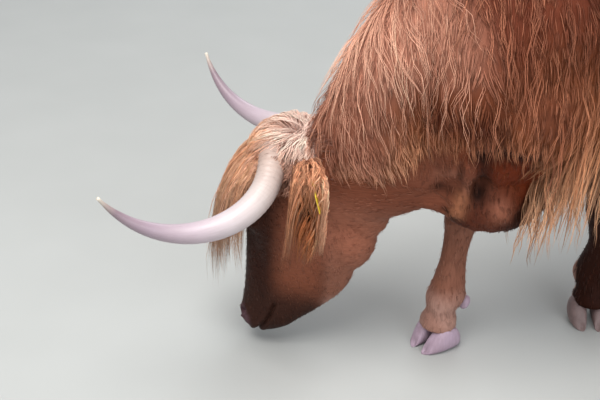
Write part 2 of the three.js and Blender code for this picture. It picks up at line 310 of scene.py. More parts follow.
def ringShape(sides, square):
    # a ring that is round where square is 2, and squarer above that
    angle = np.arange(sides) * 2 * math.pi / sides
    c, s = np.cos(angle), np.sin(angle)
    return np.sign(c) * np.abs(c) ** (2 / square), np.sign(s) * np.abs(s) ** (2 / square)


def closedFaces(rows, sides):
    # faces over rows of points, closed by the two end points that follow them
    faces = []
    for i in range(rows - 1):
        for j in range(sides):
            a, b = i * sides + j, i * sides + (j + 1) % sides
            faces.append((a, b, b + sides, a + sides))
    first, last = rows * sides, rows * sides + 1
    for j in range(sides):
        k = (j + 1) % sides
        faces.append((first, k, j))
        faces.append((last, first - sides + j, first - sides + k))
    return faces


def loft(stations, rings=24, sides=24, square=2.0, lift=(0, 0, 1), along=None, inset=(0, 0, 0)):
    # a closed form through [centre, half width, above, below]; inset thins those three
    centres = np.array([s[0] for s in stations], float)
    sizes = np.maximum(np.array([s[1:4] for s in stations], float) - np.array(inset), 0.004)
    shares = np.linspace(0, 1, rings + 1)
    middle, size = through(centres, shares), through(sizes, shares)
    if along is None:
        ahead = through(centres, np.minimum(shares + 0.01, 1))
        way = unit(ahead - through(centres, np.maximum(shares - 0.01, 0)))
    else:
        way = np.repeat(unit(along)[None], rings + 1, 0)
    side = unit(np.cross(way, np.asarray(lift, float)))
    rise = unit(np.cross(side, way))
    across, up = ringShape(sides, square)
    wide = size[:, :1] * across
    high = np.where(up > 0, size[:, 1:2], size[:, 2:3]) * up
    points = middle[:, None] + side[:, None] * wide[..., None] + rise[:, None] * high[..., None]
    points = np.concatenate([points.reshape(-1, 3), middle[:1], middle[-1:]])
    return points, closedFaces(rings + 1, sides)


def ball(middle, half, lean=0, rings=18, sides=28, axes=None):
    # an egg, leant by so many degrees about X or set along axes
    up = np.linspace(-math.pi / 2, math.pi / 2, rings + 1)[1:-1]
    around = np.arange(sides) * 2 * math.pi / sides
    x = np.cos(up)[:, None] * np.cos(around)
    y = np.cos(up)[:, None] * np.sin(around)
    z = np.repeat(np.sin(up)[:, None], sides, 1)
    points = np.stack([x, y, z], -1).reshape(-1, 3)
    points = np.concatenate([points, [[0, 0, -1], [0, 0, 1]]]) * np.array(half)
    points = points @ (turn(x=lean) if axes is None else axes).T + np.array(middle)
    return points, closedFaces(rings - 1, sides)


def fill(data, key, values, kind=np.float32):
    # sets one value of all the points, corners or faces of a mesh
    data.foreach_set(key, np.asarray(values, kind).ravel())


def placed(name, mesh, material=None):
    made = bpy.data.objects.new(name, mesh)
    bpy.context.scene.collection.objects.link(made)
    if material:
        mesh.materials.append(material)
    return made


def makeObject(name, points, faces, material=None):
    # the points come in the cow's own places and are set into the part's frame
    mesh = bpy.data.meshes.new(name)
    mesh.from_pydata((np.asarray(points) + withers).tolist(), [], faces)
    fill(mesh.polygons, "use_smooth", np.ones(len(mesh.polygons)), bool)
    return placed(name, mesh, material)


def squareUp(made):
    # outward normals for a mesh of closed forms
    work = bmesh.new()
    work.from_mesh(made.data)
    bmesh.ops.recalc_face_normals(work, faces=work.faces)
    work.to_mesh(made.data)
    work.free()


feet = {  # places of the feet on the floor, and how far each turns out
    ("front", 1): (0.034, 0.189, 48), ("front", -1): (-0.126, -0.182, -4),
    ("back", 1): (0.152, 1.010, 8), ("back", -1): (-0.150, 0.860, -8),
}
knees = {1: (0.077, 0.150, 0.335), -1: (-0.110, -0.131, 0.332)}

flesh = {   # sizes are half width, then above and below, and for legs in front and behind
    "voxel": 0.009,
    "trunk": [  # distance behind the withers, back, belly, half width
        (-0.368, 0.84, 0.63, 0.05), (-0.318, 0.925, 0.545, 0.125), (-0.19, 1.042, 0.485, 0.188),
        (-0.02, 1.135, 0.470, 0.222), (0.18, 1.116, 0.466, 0.262), (0.42, 1.092, 0.462, 0.288),
        (0.66, 1.094, 0.474, 0.290), (0.86, 1.114, 0.520, 0.266), (1.0, 1.092, 0.610, 0.220),
        (1.07, 1.025, 0.700, 0.145), (1.092, 0.955, 0.77, 0.07)],
    "head": [  # height, front of the face, back of the jaw, half width, in the head's own frame
        (0.034, -0.016, 0.026, 0.058), (0.014, -0.054, 0.066, 0.094), (-0.040, -0.082, 0.104, 0.108),
        (-0.110, -0.090, 0.132, 0.112), (-0.185, -0.082, 0.162, 0.102), (-0.260, -0.074, 0.196, 0.086),
        (-0.335, -0.070, 0.186, 0.071), (-0.400, -0.070, 0.138, 0.066), (-0.455, -0.072, 0.080, 0.070),
        (-0.485, -0.058, 0.048, 0.058), (-0.500, -0.034, 0.026, 0.034)],
    "headInset": (0.008, 0.001, 0.009),
    "neck": [
        ((-0.304, -0.420, 0.402), 0.080, 0.100, 0.100), ((-0.260, -0.392, 0.462), 0.100, 0.134, 0.140),
        ((-0.188, -0.346, 0.564), 0.120, 0.166, 0.196), ((-0.114, -0.290, 0.668), 0.144, 0.204, 0.226),
        ((-0.048, -0.212, 0.766), 0.172, 0.246, 0.252), ((-0.005, -0.100, 0.845), 0.195, 0.268, 0.265)],
    "neckInset": (0.020, 0.022, 0.001),
    "dewlap": [
        ((-0.230, -0.380, 0.400), 0.030, 0.070, 0.040), ((-0.148, -0.334, 0.452), 0.040, 0.110, 0.074),
        ((-0.072, -0.298, 0.458), 0.046, 0.130, 0.034), ((-0.040, -0.268, 0.455), 0.056, 0.134, 0.036),
        ((-0.006, -0.232, 0.450), 0.066, 0.140, 0.074), ((0.028, -0.150, 0.452), 0.076, 0.120, 0.100),
        ((0.046, -0.080, 0.470), 0.070, 0.090, 0.084), ((0.040, 0.000, 0.490), 0.050, 0.070, 0.050),
        ((0.02, 0.060, 0.51), 0.026, 0.040, 0.04)],
    "dewlapInset": (0.008, 0.008, 0.010),
    "throat": [((0, 0.158, -0.204), (0.064, 0.080, 0.094)), ((0, 0.205, -0.132), (0.055, 0.055, 0.058))],
    "shoulder": [((0.137, -0.100, 0.890), (0.078, 0.122, 0.195), -30),
                 ((0.146, -0.150, 0.700), (0.078, 0.142, 0.112), 30)],
    "tail": [
        ((0, 1.030, 1.062), 0.030, 0.026, 0.03), ((0, 1.104, 1.040), 0.030, 0.026, 0.026),
        ((0, 1.143, 0.955), 0.024, 0.020, 0.020), ((0, 1.152, 0.80), 0.018, 0.016, 0.016),
        ((0, 1.150, 0.64), 0.013, 0.012, 0.012), ((0, 1.15, 0.56), 0.007, 0.007, 0.007)],
    "thigh": [(0.075, 0.095, 0.090), (0.100, 0.160, 0.130), (0.096, 0.168, 0.135), (0.074, 0.118, 0.098)],
    "frontLeg": [(0.062, 0.090, 0.090), (0.070, 0.082, 0.082), (0.058, 0.060, 0.068), (0.048, 0.048, 0.050),
                 (0.049, 0.050, 0.047), (0.041, 0.043, 0.044), (0.035, 0.037, 0.043)],
    "backLeg": [(0.080, 0.140, 0.120), (0.076, 0.118, 0.104), (0.058, 0.082, 0.074), (0.044, 0.050, 0.060),
                (0.042, 0.050, 0.052), (0.035, 0.039, 0.043)],
    "pastern": [  # behind the foot's middle, height, sizes
        (0.022, 0.128, 0.050, 0.048, 0.054), (0.010, 0.098, 0.044, 0.042, 0.046),
        (0.002, 0.064, 0.054, 0.044, 0.050), (0.000, 0.048, 0.052, 0.046, 0.050)],
    "legInset": (0.006, 0.006, 0.006),
}


def legForm(places, sizes, foot):
    # down through the places to the pastern, which follows the foot
    x, y, out = foot
    stations = [[place, *size] for place, size in zip(places, sizes)]
    for back, height, *size in flesh["pastern"]:
        stations.append([np.array([x, y, 0]) + turn(z=out) @ np.array([0, back, height]), *size])
    return loft(stations, rings=60, sides=24, lift=(0, -1, 0), along=(0, 0, -1), inset=flesh["legInset"])


def frontLeg(side):
    foot, knee = feet["front", side], np.array(knees[side])
    elbow = np.array([side * 0.148, knee[1] * 0.4 - 0.010, 0.610])
    if side < 0:
        elbow += (0.014, 0.020, 0)
    low = np.array([foot[0], foot[1] + 0.018, 0.128])
    top = elbow + np.array([-side * 0.012, -0.030, 0.10])
    forearm, aboveKnee = elbow * 0.45 + knee * 0.55, elbow * 0.12 + knee * 0.88
    places = [top, elbow, forearm, aboveKnee, knee, knee * 0.85 + low * 0.15, (knee + low) / 2]
    return legForm(places, flesh["frontLeg"], foot)


def hipSwing(side):
    # how far the thigh goes with its foot
    return 0.35 * (feet["back", side][1] - 0.950)


def backLeg(side):
    foot, swing = feet["back", side], hipSwing(side)
    hock = np.array([foot[0], foot[1] + 0.066, 0.440])
    places = [(side * 0.165, 0.900 + swing, 0.80), (side * 0.176, 0.925 + swing, 0.690),
              (side * 0.168, 0.972 + swing, 0.555), hock + (0, 0.006, 0.040), hock + (0, 0, -0.030),
              (foot[0], foot[1] + 0.046, 0.290)]
    return legForm(places, flesh["backLeg"], foot)


def thigh(side):
    swing = hipSwing(side)
    places = [(side * 0.125, 0.895, 1.02), (side * 0.168, 0.925, 0.900),
              (side * 0.174, 0.915 + swing / 2, 0.760), (side * 0.172, 0.925 + swing, 0.640)]
    stations = [[place, *size] for place, size in zip(places, flesh["thigh"])]
    return loft(stations, rings=24, sides=28, lift=(0, -1, 0), along=(0, 0, -1))


ear = {   # along the middle of the ear, in the head's own frame
    "line": [(0.085, 0.046, -0.022), (0.122, 0.064, 0.004), (0.152, 0.088, -0.012), (0.170, 0.108, -0.056),
             (0.172, 0.120, -0.108), (0.166, 0.127, -0.150)],
    "wide": [0.016, 0.030, 0.040, 0.040, 0.030, 0.006], "thick": 0.0085, "rim": 0.040,
}


def earPlace(points):
    # across the ear, -1 at the front rim and 1 at the back rim, and whether it faces outwards
    x, y, z = toHead(points).T
    lineX, lineY, lineZ = np.array(ear["line"][:1:-1]).T   # the blade, from its tip up
    return (y - np.interp(z, lineZ, lineY)) / ear["rim"], np.abs(x) > np.interp(z, lineZ, lineX)


def earForm(side):
    # a leaf-shaped blade, set behind the horn, that reaches out, back and down
    stations = []
    for (x, y, z), wide in zip(ear["line"], ear["wide"]):
        stations.append([(side * x, y, z), wide, ear["thick"], ear["thick"]])
    points, faces = loft(stations, rings=30, sides=20, lift=(side, -0.25, 0.3))
    return fromHead(points), faces


def skinForms():
    trunk, head = [], []
    for y, top, bottom, wide in flesh["trunk"]:
        middle = bottom + 0.47 * (top - bottom)
        trunk.append([(0, y, middle), wide, top - middle, middle - bottom])
    forms = [loft(trunk, rings=60, sides=48, square=2.15, along=(0, 1, 0))]
    for z, front, back, wide in flesh["head"]:
        middle = front + 0.42 * (back - front)
        head.append([(0, middle, z), wide, back - middle, middle - front])
    points, faces = loft(head, rings=60, sides=40, square=2.3, lift=(0, 1, 0), along=(0, 0, -1),
                         inset=flesh["headInset"])
    forms.append((fromHead(points), faces))
    forms.append(loft(flesh["neck"], rings=40, sides=40, square=2.1, inset=flesh["neckInset"]))
    for middle, half in flesh["throat"]:
        points, faces = ball(middle, half)
        forms.append((fromHead(points), faces))
    forms.append(loft(flesh["dewlap"], rings=40, sides=24, lift=(0.2, 0, 1), inset=flesh["dewlapInset"]))
    for side in (1, -1):
        for (x, y, z), half, lean in flesh["shoulder"]:
            forms.append(ball((side * x, y, z), half, lean))
        forms += [thigh(side), frontLeg(side), backLeg(side), earForm(side)]
    forms.append(loft(flesh["tail"], rings=40, sides=16, lift=(0, 1, 0.6)))
    points, faces, start = [], [], 0
    for formPoints, formFaces in forms:
        points.append(formPoints)
        faces += [tuple(i + start for i in face) for face in formFaces]
        start += len(formPoints)
    return np.concatenate(points), faces


def remeshed(made, voxel):
    # one closed skin round everything in the object
    tool = made.modifiers.new("remesh", "REMESH")
    tool.mode, tool.voxel_size, tool.use_smooth_shade = "VOXEL", voxel, True
    graph = bpy.context.evaluated_depsgraph_get()
    mesh = bpy.data.meshes.new_from_object(made.evaluated_get(graph))
    bpy.data.objects.remove(made)
    return mesh


def pointValues(mesh, key):
    values = np.empty(len(mesh.vertices) * 3, np.float32)
    mesh.vertices.foreach_get(key, values)
    return values.reshape(-1, 3).astype(float)


def edgePairs(mesh):
    pairs = np.empty(len(mesh.edges) * 2, np.int32)
    mesh.edges.foreach_get("vertices", pairs)
    return pairs.reshape(-1, 2)


def relaxed(points, pairs, weight, rounds):
    # evens the surface, by weight at each point, and keeps its fullness
    many = len(points)
    one, other = pairs.T
    count = np.bincount(pairs.ravel(), minlength=many)[:, None]
    for step in range(rounds * 2):
        total = np.stack([np.bincount(one, points[other, k], many)
                          + np.bincount(other, points[one, k], many) for k in range(3)], 1)
        points = points + (total / count - points) * weight[:, None] * (0.55 if step % 2 == 0 else -0.50)
    return points


rough = makeObject("rough", *skinForms())
squareUp(rough)
skinMesh = remeshed(rough, flesh["voxel"])
print("skin forms:", len(skinMesh.vertices), "points")


def subdivided(mesh, chosen):
    # halves the faces whose points are all chosen by a test on their places
    work = bmesh.new()
    work.from_mesh(mesh)
    work.verts.ensure_lookup_table()
    keep = chosen(np.array([v.co[:] for v in work.verts]) - withers)
    edges = [e for e in work.edges if keep[e.verts[0].index] and keep[e.verts[1].index]]
    bmesh.ops.subdivide_edges(work, edges=edges, cuts=1, use_grid_fill=True)
    bmesh.ops.triangulate(work, faces=[f for f in work.faces if len(f.verts) > 4])
    work.to_mesh(mesh)
    work.free()


def setPoints(mesh, points):
    fill(mesh.vertices, "co", points + withers)
    mesh.update()


def lineDistance(points, path):
    # distance from a broken line, in as many dimensions as the path has
    best = np.full(len(points), 9.0)
    for a, b in zip(np.array(path[:-1], float), np.array(path[1:], float)):
        share = np.clip((points - a) @ (b - a) / ((b - a) @ (b - a)), 0, 1)
        best = np.minimum(best, np.linalg.norm(points - a - share[:, None] * (b - a), axis=1))
    return best


face = {
    "eyeRadius": 0.020, "lid": 0.0236, "slit": (0.0170, 0.0100), "orbit": 0.040,
    "nostril": (0.040, -0.062, -0.452), "nostrilSize": (0.0150, 0.0072), "nostrilDepth": 0.016,
    "mouth": [(-0.020, -0.500), (-0.002, -0.474), (0.016, -0.436), (0.024, -0.402)],
}


def eyeFrame(side):
    # the middle of an eye and its ways out, across and up, in the head's own frame
    middle = np.array(pose["eye"]) * (side, 1, 1)
    out = unit([side * 0.86, -0.50, 0.02])
    up = unit(np.array([0, -0.35, 1]) - out * (np.array([0, -0.35, 1]) @ out))
    return middle, out, np.cross(up, out), up


def sculptHead(points, normals):
    head = toHead(points)
    way = normals @ headAxes
    x, y, z = head.T
    near = (np.abs(x) < 0.14) & (z < 0.06) & (y < 0.21)
    push = np.zeros(len(head))
    # bridge of the nose, cheek and jaw
    push -= 0.007 * bell(np.abs(x), 0.062, 0.016) * bell(z, -0.305, 0.085) * ease(0.02, -0.03, y)
    push += 0.004 * bell(x, 0, 0.030) * bell(z, -0.300, 0.11) * ease(0.0, -0.04, y)
    push += 0.007 * bell(y, 0.085, 0.050) * bell(z, -0.205, 0.075)
    push -= 0.006 * bell(y, 0.020, 0.026) * bell(z, -0.285, 0.075) * (np.abs(x) > 0.03)
    push -= 0.004 * bell(x, 0, 0.035) * bell(z, -0.150, 0.05) * ease(0.0, -0.05, y)
    # muzzle: a broad pad, nostrils with a rim, and the line of the mouth
    push += 0.004 * bell(z, -0.468, 0.022) * ease(0.01, -0.03, y) * bell(np.abs(x), 0.040, 0.03)
    push -= 0.002 * bell(x, 0, 0.003) * bell(z, -0.470, 0.025) * ease(-0.02, -0.05, y)
    mouth = lineDistance(head[:, 1:], face["mouth"])
    push -= 0.0075 * bell(mouth, 0, 0.0042) * (z < -0.39)
    push += 0.0030 * bell(mouth, 0.011, 0.006) * (z < -0.40)
    push += 0.0045 * bell(y, 0.050, 0.022) * bell(z, -0.452, 0.022)
    for s in (1, -1):
        nearest = np.argmin(np.linalg.norm(head - np.array(face["nostril"]) * (s, 1, 1), axis=1))
        out, slant = unit(way[nearest]), np.array([s * 0.75, -0.1, 0.55])
        slant = unit(slant - out * (slant @ out))
        off = head - head[nearest]
        along = off @ slant
        across = off @ np.cross(out, slant) + 9.0 * s * along ** 2
        f = np.hypot(along / face["nostrilSize"][0], across / face["nostrilSize"][1])
        front = np.linalg.norm(off, axis=1) < 0.045
        push += front * (-face["nostrilDepth"] * np.exp(-f ** 4) + 0.0032 * bell(f, 1.7, 0.5))
    points = points + (normals * (push * near)[:, None])
    # eyes: a raised orbit, lids that wrap the ball, and a slit between them
    head = toHead(points)
    for s in (1, -1):
        middle, out, across, up = eyeFrame(s)
        off = head - middle
        p, q, ahead = off @ across, off @ up, off @ out
        away = np.hypot(p, q)
        f = np.sqrt(np.abs(p / face["slit"][0]) ** 2.2 + np.abs((q + 0.10 * p) / face["slit"][1]) ** 2)
        dome = np.sqrt(np.clip(face["lid"] ** 2 - away ** 2, 0, None))
        orbit = 0.0165 - 0.020 * (away / face["orbit"]) ** 2 + 0.003 * bell(q, 0.026, 0.010)
        lid = np.log(np.exp(dome * 400) + np.exp(orbit * 400)) / 400 - 0.0016 * bell(f, 1.75, 0.16)
        rise = np.where(f > 1, np.maximum(ahead, lid), np.sqrt(np.clip(0.013 ** 2 - away ** 2, 0, None)))
        blend = (ahead > -0.030) * np.where(f > 1, 1 - ease(0.026, 0.058, away), 1)
        head = head + out * ((rise - ahead) * blend)[:, None]
    return np.where(near[:, None], fromHead(head), points)


folds = [  # a path over the skin, half width, height, colour: the brisket's folds and hollows
    ([(0.052, -0.240, 0.440), (0.036, -0.225, 0.395)], 0.050, 0.000, "pouch"),
    ([(0.080, -0.214, 0.456), (0.070, -0.202, 0.440)], 0.022, 0.006, "pink"),
    ([(-0.010, -0.320, 0.545), (0.045, -0.330, 0.566)], 0.014, 0.003, "band"),
    ([(0.080, -0.319, 0.596), (0.035, -0.275, 0.506)], 0.011, 0.010, "band"),
    ([(0.030, -0.284, 0.490), (0.020, -0.288, 0.448)], 0.015, 0.010, "fold"),
    # the under paths are creases pushed into the skin, painted near black as the shade in them
    ([(0.076, -0.341, 0.601), (0.050, -0.316, 0.556), (0.028, -0.292, 0.508)], 0.005, -0.008, "under"),
    ([(-0.006, -0.300, 0.456), (0.006, -0.294, 0.440), (0.022, -0.280, 0.416)], 0.005, -0.004, "under"),
    ([(-0.012, -0.314, 0.508), (0.008, -0.304, 0.500)], 0.011, -0.005, "under"),
    ([(0.096, -0.292, 0.612), (0.062, -0.260, 0.540), (0.036, -0.244, 0.484)], 0.019, -0.026, "under"),
    # painted shadow under the fringe of the long hair on the chest
    ([(0.100, -0.307, 0.622), (0.132, -0.260, 0.622), (0.173, -0.237, 0.622)], 0.022, -0.018, "gapShade"),
    ([(-0.090, -0.270, 0.610), (-0.060, -0.240, 0.530), (-0.030, -0.225, 0.462)], 0.020, -0.022, "under"),
    # painted shade in the gap beside the brisket
    ([(0.102, -0.150, 0.462), (0.092, -0.156, 0.425)], 0.014, -0.012, "gapShade"),
    ([(-0.225, -0.418, 0.400), (-0.200, -0.400, 0.330)], 0.060, 0.000, "pink"),
    # painted shadow under the hair of the upper arm
    ([(0.030, -0.363, 0.700), (0.096, -0.342, 0.705), (0.128, -0.312, 0.695)], 0.034, 0.000, "hollow"),
]


def sculptBody(points, normals):
    x, y, z = points.T
    push = np.zeros(len(points))
    # loose folds of skin down the brisket and under the throat
    loose = bell(y, -0.235, 0.085) * ease(0.60, 0.50, z) * bell(x, 0.01, 0.13)
    down = (y * 0.75 + z * 0.55 + 0.35 * x) * 2 * math.pi / 0.036
    push += 0.0016 * loose * np.sin(down + 2 * ripple(points, 0.16, 3))
    for path, wide, high, _ in folds:
        push += high * bell(lineDistance(points, path), 0, wide)
    ring = np.linalg.norm((points - (0.09, -0.185, 0.52)) * (0.6, 1, 1), axis=1)
    ring = ring + 0.003 * ripple(points, 0.06, 9)
    push += 0.0034 * bell(z, 0.425, 0.05) * bell(y, -0.24, 0.06) * np.sin(ring * 2 * math.pi / 0.014)
    throat = bell(np.linalg.norm(points - fromHead([0, 0.20, -0.16]), axis=1), 0, 0.13)
    head = toHead(points)
    down = (head[:, 2] * 0.8 + head[:, 1] * 0.5) * 2 * math.pi / 0.022
    push += 0.0013 * throat * np.sin(down + 2 * ripple(points, 0.2, 4))
    # tendons behind the cannons, the fetlocks and the pasterns
    for key, (fx, fy, out) in feet.items():
        near = (np.hypot(x - fx, y - fy - 0.03) < 0.13) & (z < 0.42)
        back = (y - fy) * math.cos(math.radians(out)) - (x - fx) * math.sin(math.radians(out))
        slope = 0.018 + (0.05 if key[0] == "front" else 0.03) * (z - 0.128)
        push -= near * 0.0042 * bell(back, slope + 0.012, 0.010) * bell(z, 0.225, 0.075)
        push += near * 0.0030 * bell(z, 0.128, 0.020)
        push -= near * 0.0030 * bell(z, 0.090, 0.012)
    return points + normals * push[:, None]


def headZone(margin):
    # a test for the face, as those below it are for the eyes and the muzzle, where the skin is made finer
    def test(points):
        x, y, z = toHead(points).T
        return (z < -0.03 + margin) & (z > -0.53) & (np.abs(x) < 0.13) & (y < 0.10 + margin)
    return test


def eyeZone(size):
    def test(points):
        head, near = toHead(points), False
        for side in (1, -1):
            middle, out = eyeFrame(side)[:2]
            near = near | (np.linalg.norm(head - middle - out * 0.01, axis=1) < size)
        return near
    return test


def muzzleZone(points):
    x, y, z = toHead(points).T
    return (z < -0.395) & (z > -0.53) & (y < 0.085) & (np.abs(x) < 0.10)


def earMask(points):
    # 1 on the ears, 0 off them
    x, y, z = toHead(points).T
    mask = ease(0.105, 0.125, np.abs(x)) * ease(0.01, 0.03, y)
    return mask * ease(-0.20, -0.17, z) * ease(0.07, 0.05, z) * ease(0.20, 0.17, y)


def earHollow(points):
    # the open side of the ear, below its hairy top
    x, y, z = toHead(points).T
    return (0.4 + 0.6 * earPlace(points)[1]) * bell(y, 0.109, 0.017) * bell(z, -0.030, 0.045)


skinMesh.materials.clear()
even = pointValues(skinMesh, "co") - withers
lowLeg = ease(0.42, 0.30, even[:, 2])
even = relaxed(even, edgePairs(skinMesh), 1 - 0.75 * lowLeg - 0.9 * (1 - lowLeg) * earMask(even), 9)
setPoints(skinMesh, even)
subdivided(skinMesh, headZone(0.0))
subdivided(skinMesh, lambda p: eyeZone(0.055)(p) | muzzleZone(p))
subdivided(skinMesh, eyeZone(0.036))
even = pointValues(skinMesh, "co") - withers
even = relaxed(even, edgePairs(skinMesh), 1.0 * headZone(0.02)(even), 3)
setPoints(skinMesh, even)
even = sculptHead(even, pointValues(skinMesh, "normal"))
setPoints(skinMesh, sculptBody(even, pointValues(skinMesh, "normal")))
fill(skinMesh.polygons, "use_smooth", np.ones(len(skinMesh.polygons)), bool)
skin = placed("skin", skinMesh)
print("skin:", len(skinMesh.vertices), "points")


# the coat's colours, and where it is long
shades = {  # mean and light tone of each region
    # painted light and shade among these tones: crest is painted light, poll partly; under, gap, hollow and
    # shade are painted shade; brow, arm and the dark leg tone are partly painted shade
    "crest": ("c89684", "ffdac6"), "neck": ("916251", "d4a691"), "shoulder": ("693725", "c0866c"),
    "side": ("a06742", "f4c097"), "arm": ("6d402c", "b2785f"), "low": ("ad8467", "e9ceb3"),
    "under": ("170601", "361706"), "brisket": ("682b0f", "8d4a1e"), "throat": ("754838", "9d6d58"),
    "jaw": ("845340", "ae7863"), "poll": ("fae4e1", "fffbf6"), "muzzle": ("33201a", "57392c"),
    "brow": ("351b12", "5d372b"), "lock": ("cc9066", "f0cdac"), "ear": ("915432", "da996b"),
    "earBack": ("dba286", "ffdec1"), "leg": ("865f51", "b08575"), "fetlock": ("ad948f", "ceb0a7"),
    "darkShadedLeg": ("2a1005", "512b17"), "nose": ("54404a", "6d5560"), "fold": ("95684f", "b08066"),
    "band": ("8a5e4e", "a47666"), "pouch": ("5a3022", "764735"), "pink": ("9a6856", "b4826f"),
    # shade, gap and hollow are painted shade tones
    "shade": ("6a3a26", "a06a50"), "gapShade": ("33180c", "4d2a1a"), "hollow": ("502818", "96634c"),
}
warmth = np.array([1.06, 0.90, 0.80])   # makes up for the pale light of the studio
shades = {key: (np.array(tone(a)) * warmth, np.array(tone(b)) * warmth) for key, (a, b) in shades.items()}


def blended(base, other, share):
    return base + (other - base) * np.asarray(share)[:, None]


def hairLine(points):
    # how far a place is above the line where the long coat ends, on the chest and the neck
    x, y, z = points.T
    edge = -0.228 + 0.083 * ease(0.17, 0.13, np.abs(x))
    return np.where(y < edge, z - 0.520 - 0.115 * ease(-0.12, 0.03, x), 0.5)


def longCoat(points):
    # 1 where the coat is long, 0 where it is short and flat
    x, y, z = points.T
    above = ease(-0.005, 0.030, hairLine(points))
    return above * ease(0.45, 0.49, z) * (1 - ease(0.74, 0.82, y) * ease(0.62, 0.55, z))


def headPart(points):
    # the face, back to the line of the jaw
    hx, hy, hz = toHead(points).T
    jawLine = 0.125 + 0.05 * ease(-0.08, -0.16, hz)
    return (hz < 0.05) & (hz > -0.53) & (hy < jawLine) & (np.abs(hx) < 0.135)


def coatColour(points):
    # the markings and the painted light and shade, the same for the skin and for the roots of the coat: a
    # mean and a light tone
    x, y, z = points.T
    hx, hy, hz = toHead(points).T
    front = ease(-0.14, -0.22, y)
    right, left = ease(0.46, 0.36, z) * (x < 0), ease(0.50, 0.40, z) * (x >= 0)
    head = (hz < 0.06) * (hy < 0.24) * (np.abs(hx) < 0.26)
    head = head * ease(0.15, 0.11, hy + 0.06 * ease(-0.1, -0.2, -hz))
    pad = lineDistance(np.stack([np.abs(hx), hy, hz], 1), [(0, -0.052, -0.487), (0.034, -0.060, -0.470)])
    line, edge = hairLine(points), -0.32 - 0.07 * ease(0.82, 0.70, z)
    crest = ease(0.10, 0.32, line + 0.6 * np.abs(np.clip(y + 0.42, -9, 0)))
    layers = [  # each lies over those before it
        ("shoulder", ease(0.62, 0.95, z + 0.08 * ripple(points, 0.4, 5))),
        ("low", ease(0.66, 0.52, z) * 0.8),
        # painted shade under the belly
        ("under", ease(0.49, 0.455, z) * ease(-0.08, 0.05, y) * 0.6),
        # darker over the upper arm, partly painted shade
        ("arm", bell(y, -0.21, 0.10) * bell(z, 0.72, 0.09) * ease(0.05, 0.12, np.abs(x))),
        ("neck", ease(0.04, -0.04, y - edge) * ease(-0.02, 0.04, line)),
        # painted shade low on the neck, before the shoulder
        ("shade", bell(y, -0.345, 0.05) * bell(z, 0.70, 0.06) * 0.8),
        # painted light: the top of the neck made paler where light from above falls
        ("crest", ease(0.05, -0.07, y - edge) * crest),
        ("throat", front * ease(0.03, -0.03, line)),
        # painted shadow of the long hair, just below its edge on the chest and throat
        ("arm", front * bell(line, -0.02, 0.035) * 0.45),
        ("brisket", (line < 0.4) * ease(0.03, -0.03, line) * ease(0.05, 0.10, x)),
        ("leg", right),
        ("fetlock", right * ease(0.17, 0.11, z) * (0.7 + 0.3 * ripple(points, 0.1, 8))),
        # dark hair on the left legs, partly painted shade
        ("darkShadedLeg", left),
        ("leg", left * (y > 0.5) * 0.5),
        # the face's dark tone is partly painted shade from the horns and the forelock
        ("brow", head),
        ("jaw", head * ease(-0.01, 0.05, hy) * (np.abs(hx) < 0.13) * ease(-0.44, -0.36, hz)),
        ("muzzle", head * ease(-0.30, -0.40, hz) * 0.9),
        # the pale poll is partly painted light on the top of the head
        ("poll", head * ease(-0.09, -0.03, hz) * ease(0.10, 0.07, np.abs(hx)) * ease(0.10, 0.06, hy)),
        ("ear", earMask(points)),
        ("earBack", earMask(points) * ease(0.1, 0.6, earPlace(points)[0])),
        # painted shade in the hollow of the ear
        ("under", earMask(points) * ease(0.1, 0.5, earHollow(points))),
        ("nose", head * ease(0.046, 0.030, pad)),
    ]
    # the folds' tones, with painted shade in their creases and gaps
    layers += [(word, bell(lineDistance(points, path), 0, wide * 1.15)) for path, wide, _, word in folds]
    both = []
    for which in (0, 1):
        colour = shades["side"][which]
        for name, share in layers:
            colour = blended(colour, shades[name][which], share)
        both.append(colour)
    return both


skin.data.uv_layers.new(name="unwrap")
bpy.context.view_layer.objects.active = skin
skin.select_set(True)
bpy.ops.object.mode_set(mode="EDIT")
bpy.ops.mesh.select_all(action="SELECT")
bpy.ops.uv.smart_project(angle_limit=math.radians(66), island_margin=0.002)
bpy.ops.object.mode_set(mode="OBJECT")
skin.select_set(False)
print("skin unwrapped")


horn = {
    "path": [(0.062, -0.018, 0.015), (0.268, 0.066, -0.056), (0.282, -0.190, -0.198), (0.380, -0.306, 0.0)],
    "thick": 0.0280, "tip": 0.0025, "rings": 150, "sides": 48, "grooveHeight": 0.0009, "grooveStep": 0.021,
    "colours": [(0.0, "a88a7c"), (0.10, "c4b0a6"), (0.24, "cfc3bf"), (0.42, "cdc2c5"), (0.58, "bfb0ba"),
                (0.78, "a08e9b"), (0.92, "93808a"), (0.965, "b5a59f"), (1.0, "e6dfcf")],   # root to tip
    "cloud": "a58f8a", "grain": "8d7468", "cracks": "5a4236",
}


def hornForm(side):
    t = np.linspace(0, 1, horn["rings"] + 1)
    middle = bezier(*(np.array(p) * (side, 1, 1) for p in horn["path"]), t[:, None])
    size = horn["thick"] * (1 - t ** 2.6) + horn["tip"]
    size *= np.sqrt(1 - np.clip((t - 0.985) / 0.0151, 0, 1) ** 2)
    turns = (t + 0.01 * np.sin(t * 31)) / horn["grooveStep"]   # growth rings, strongest at the root
    size += horn["grooveHeight"] * ease(0.42, 0.05, t) * np.sin(2 * math.pi * turns)
    stations = [[m, s, s, s] for m, s in zip(middle, size)]
    return loft(stations, rings=horn["rings"], sides=horn["sides"]), t


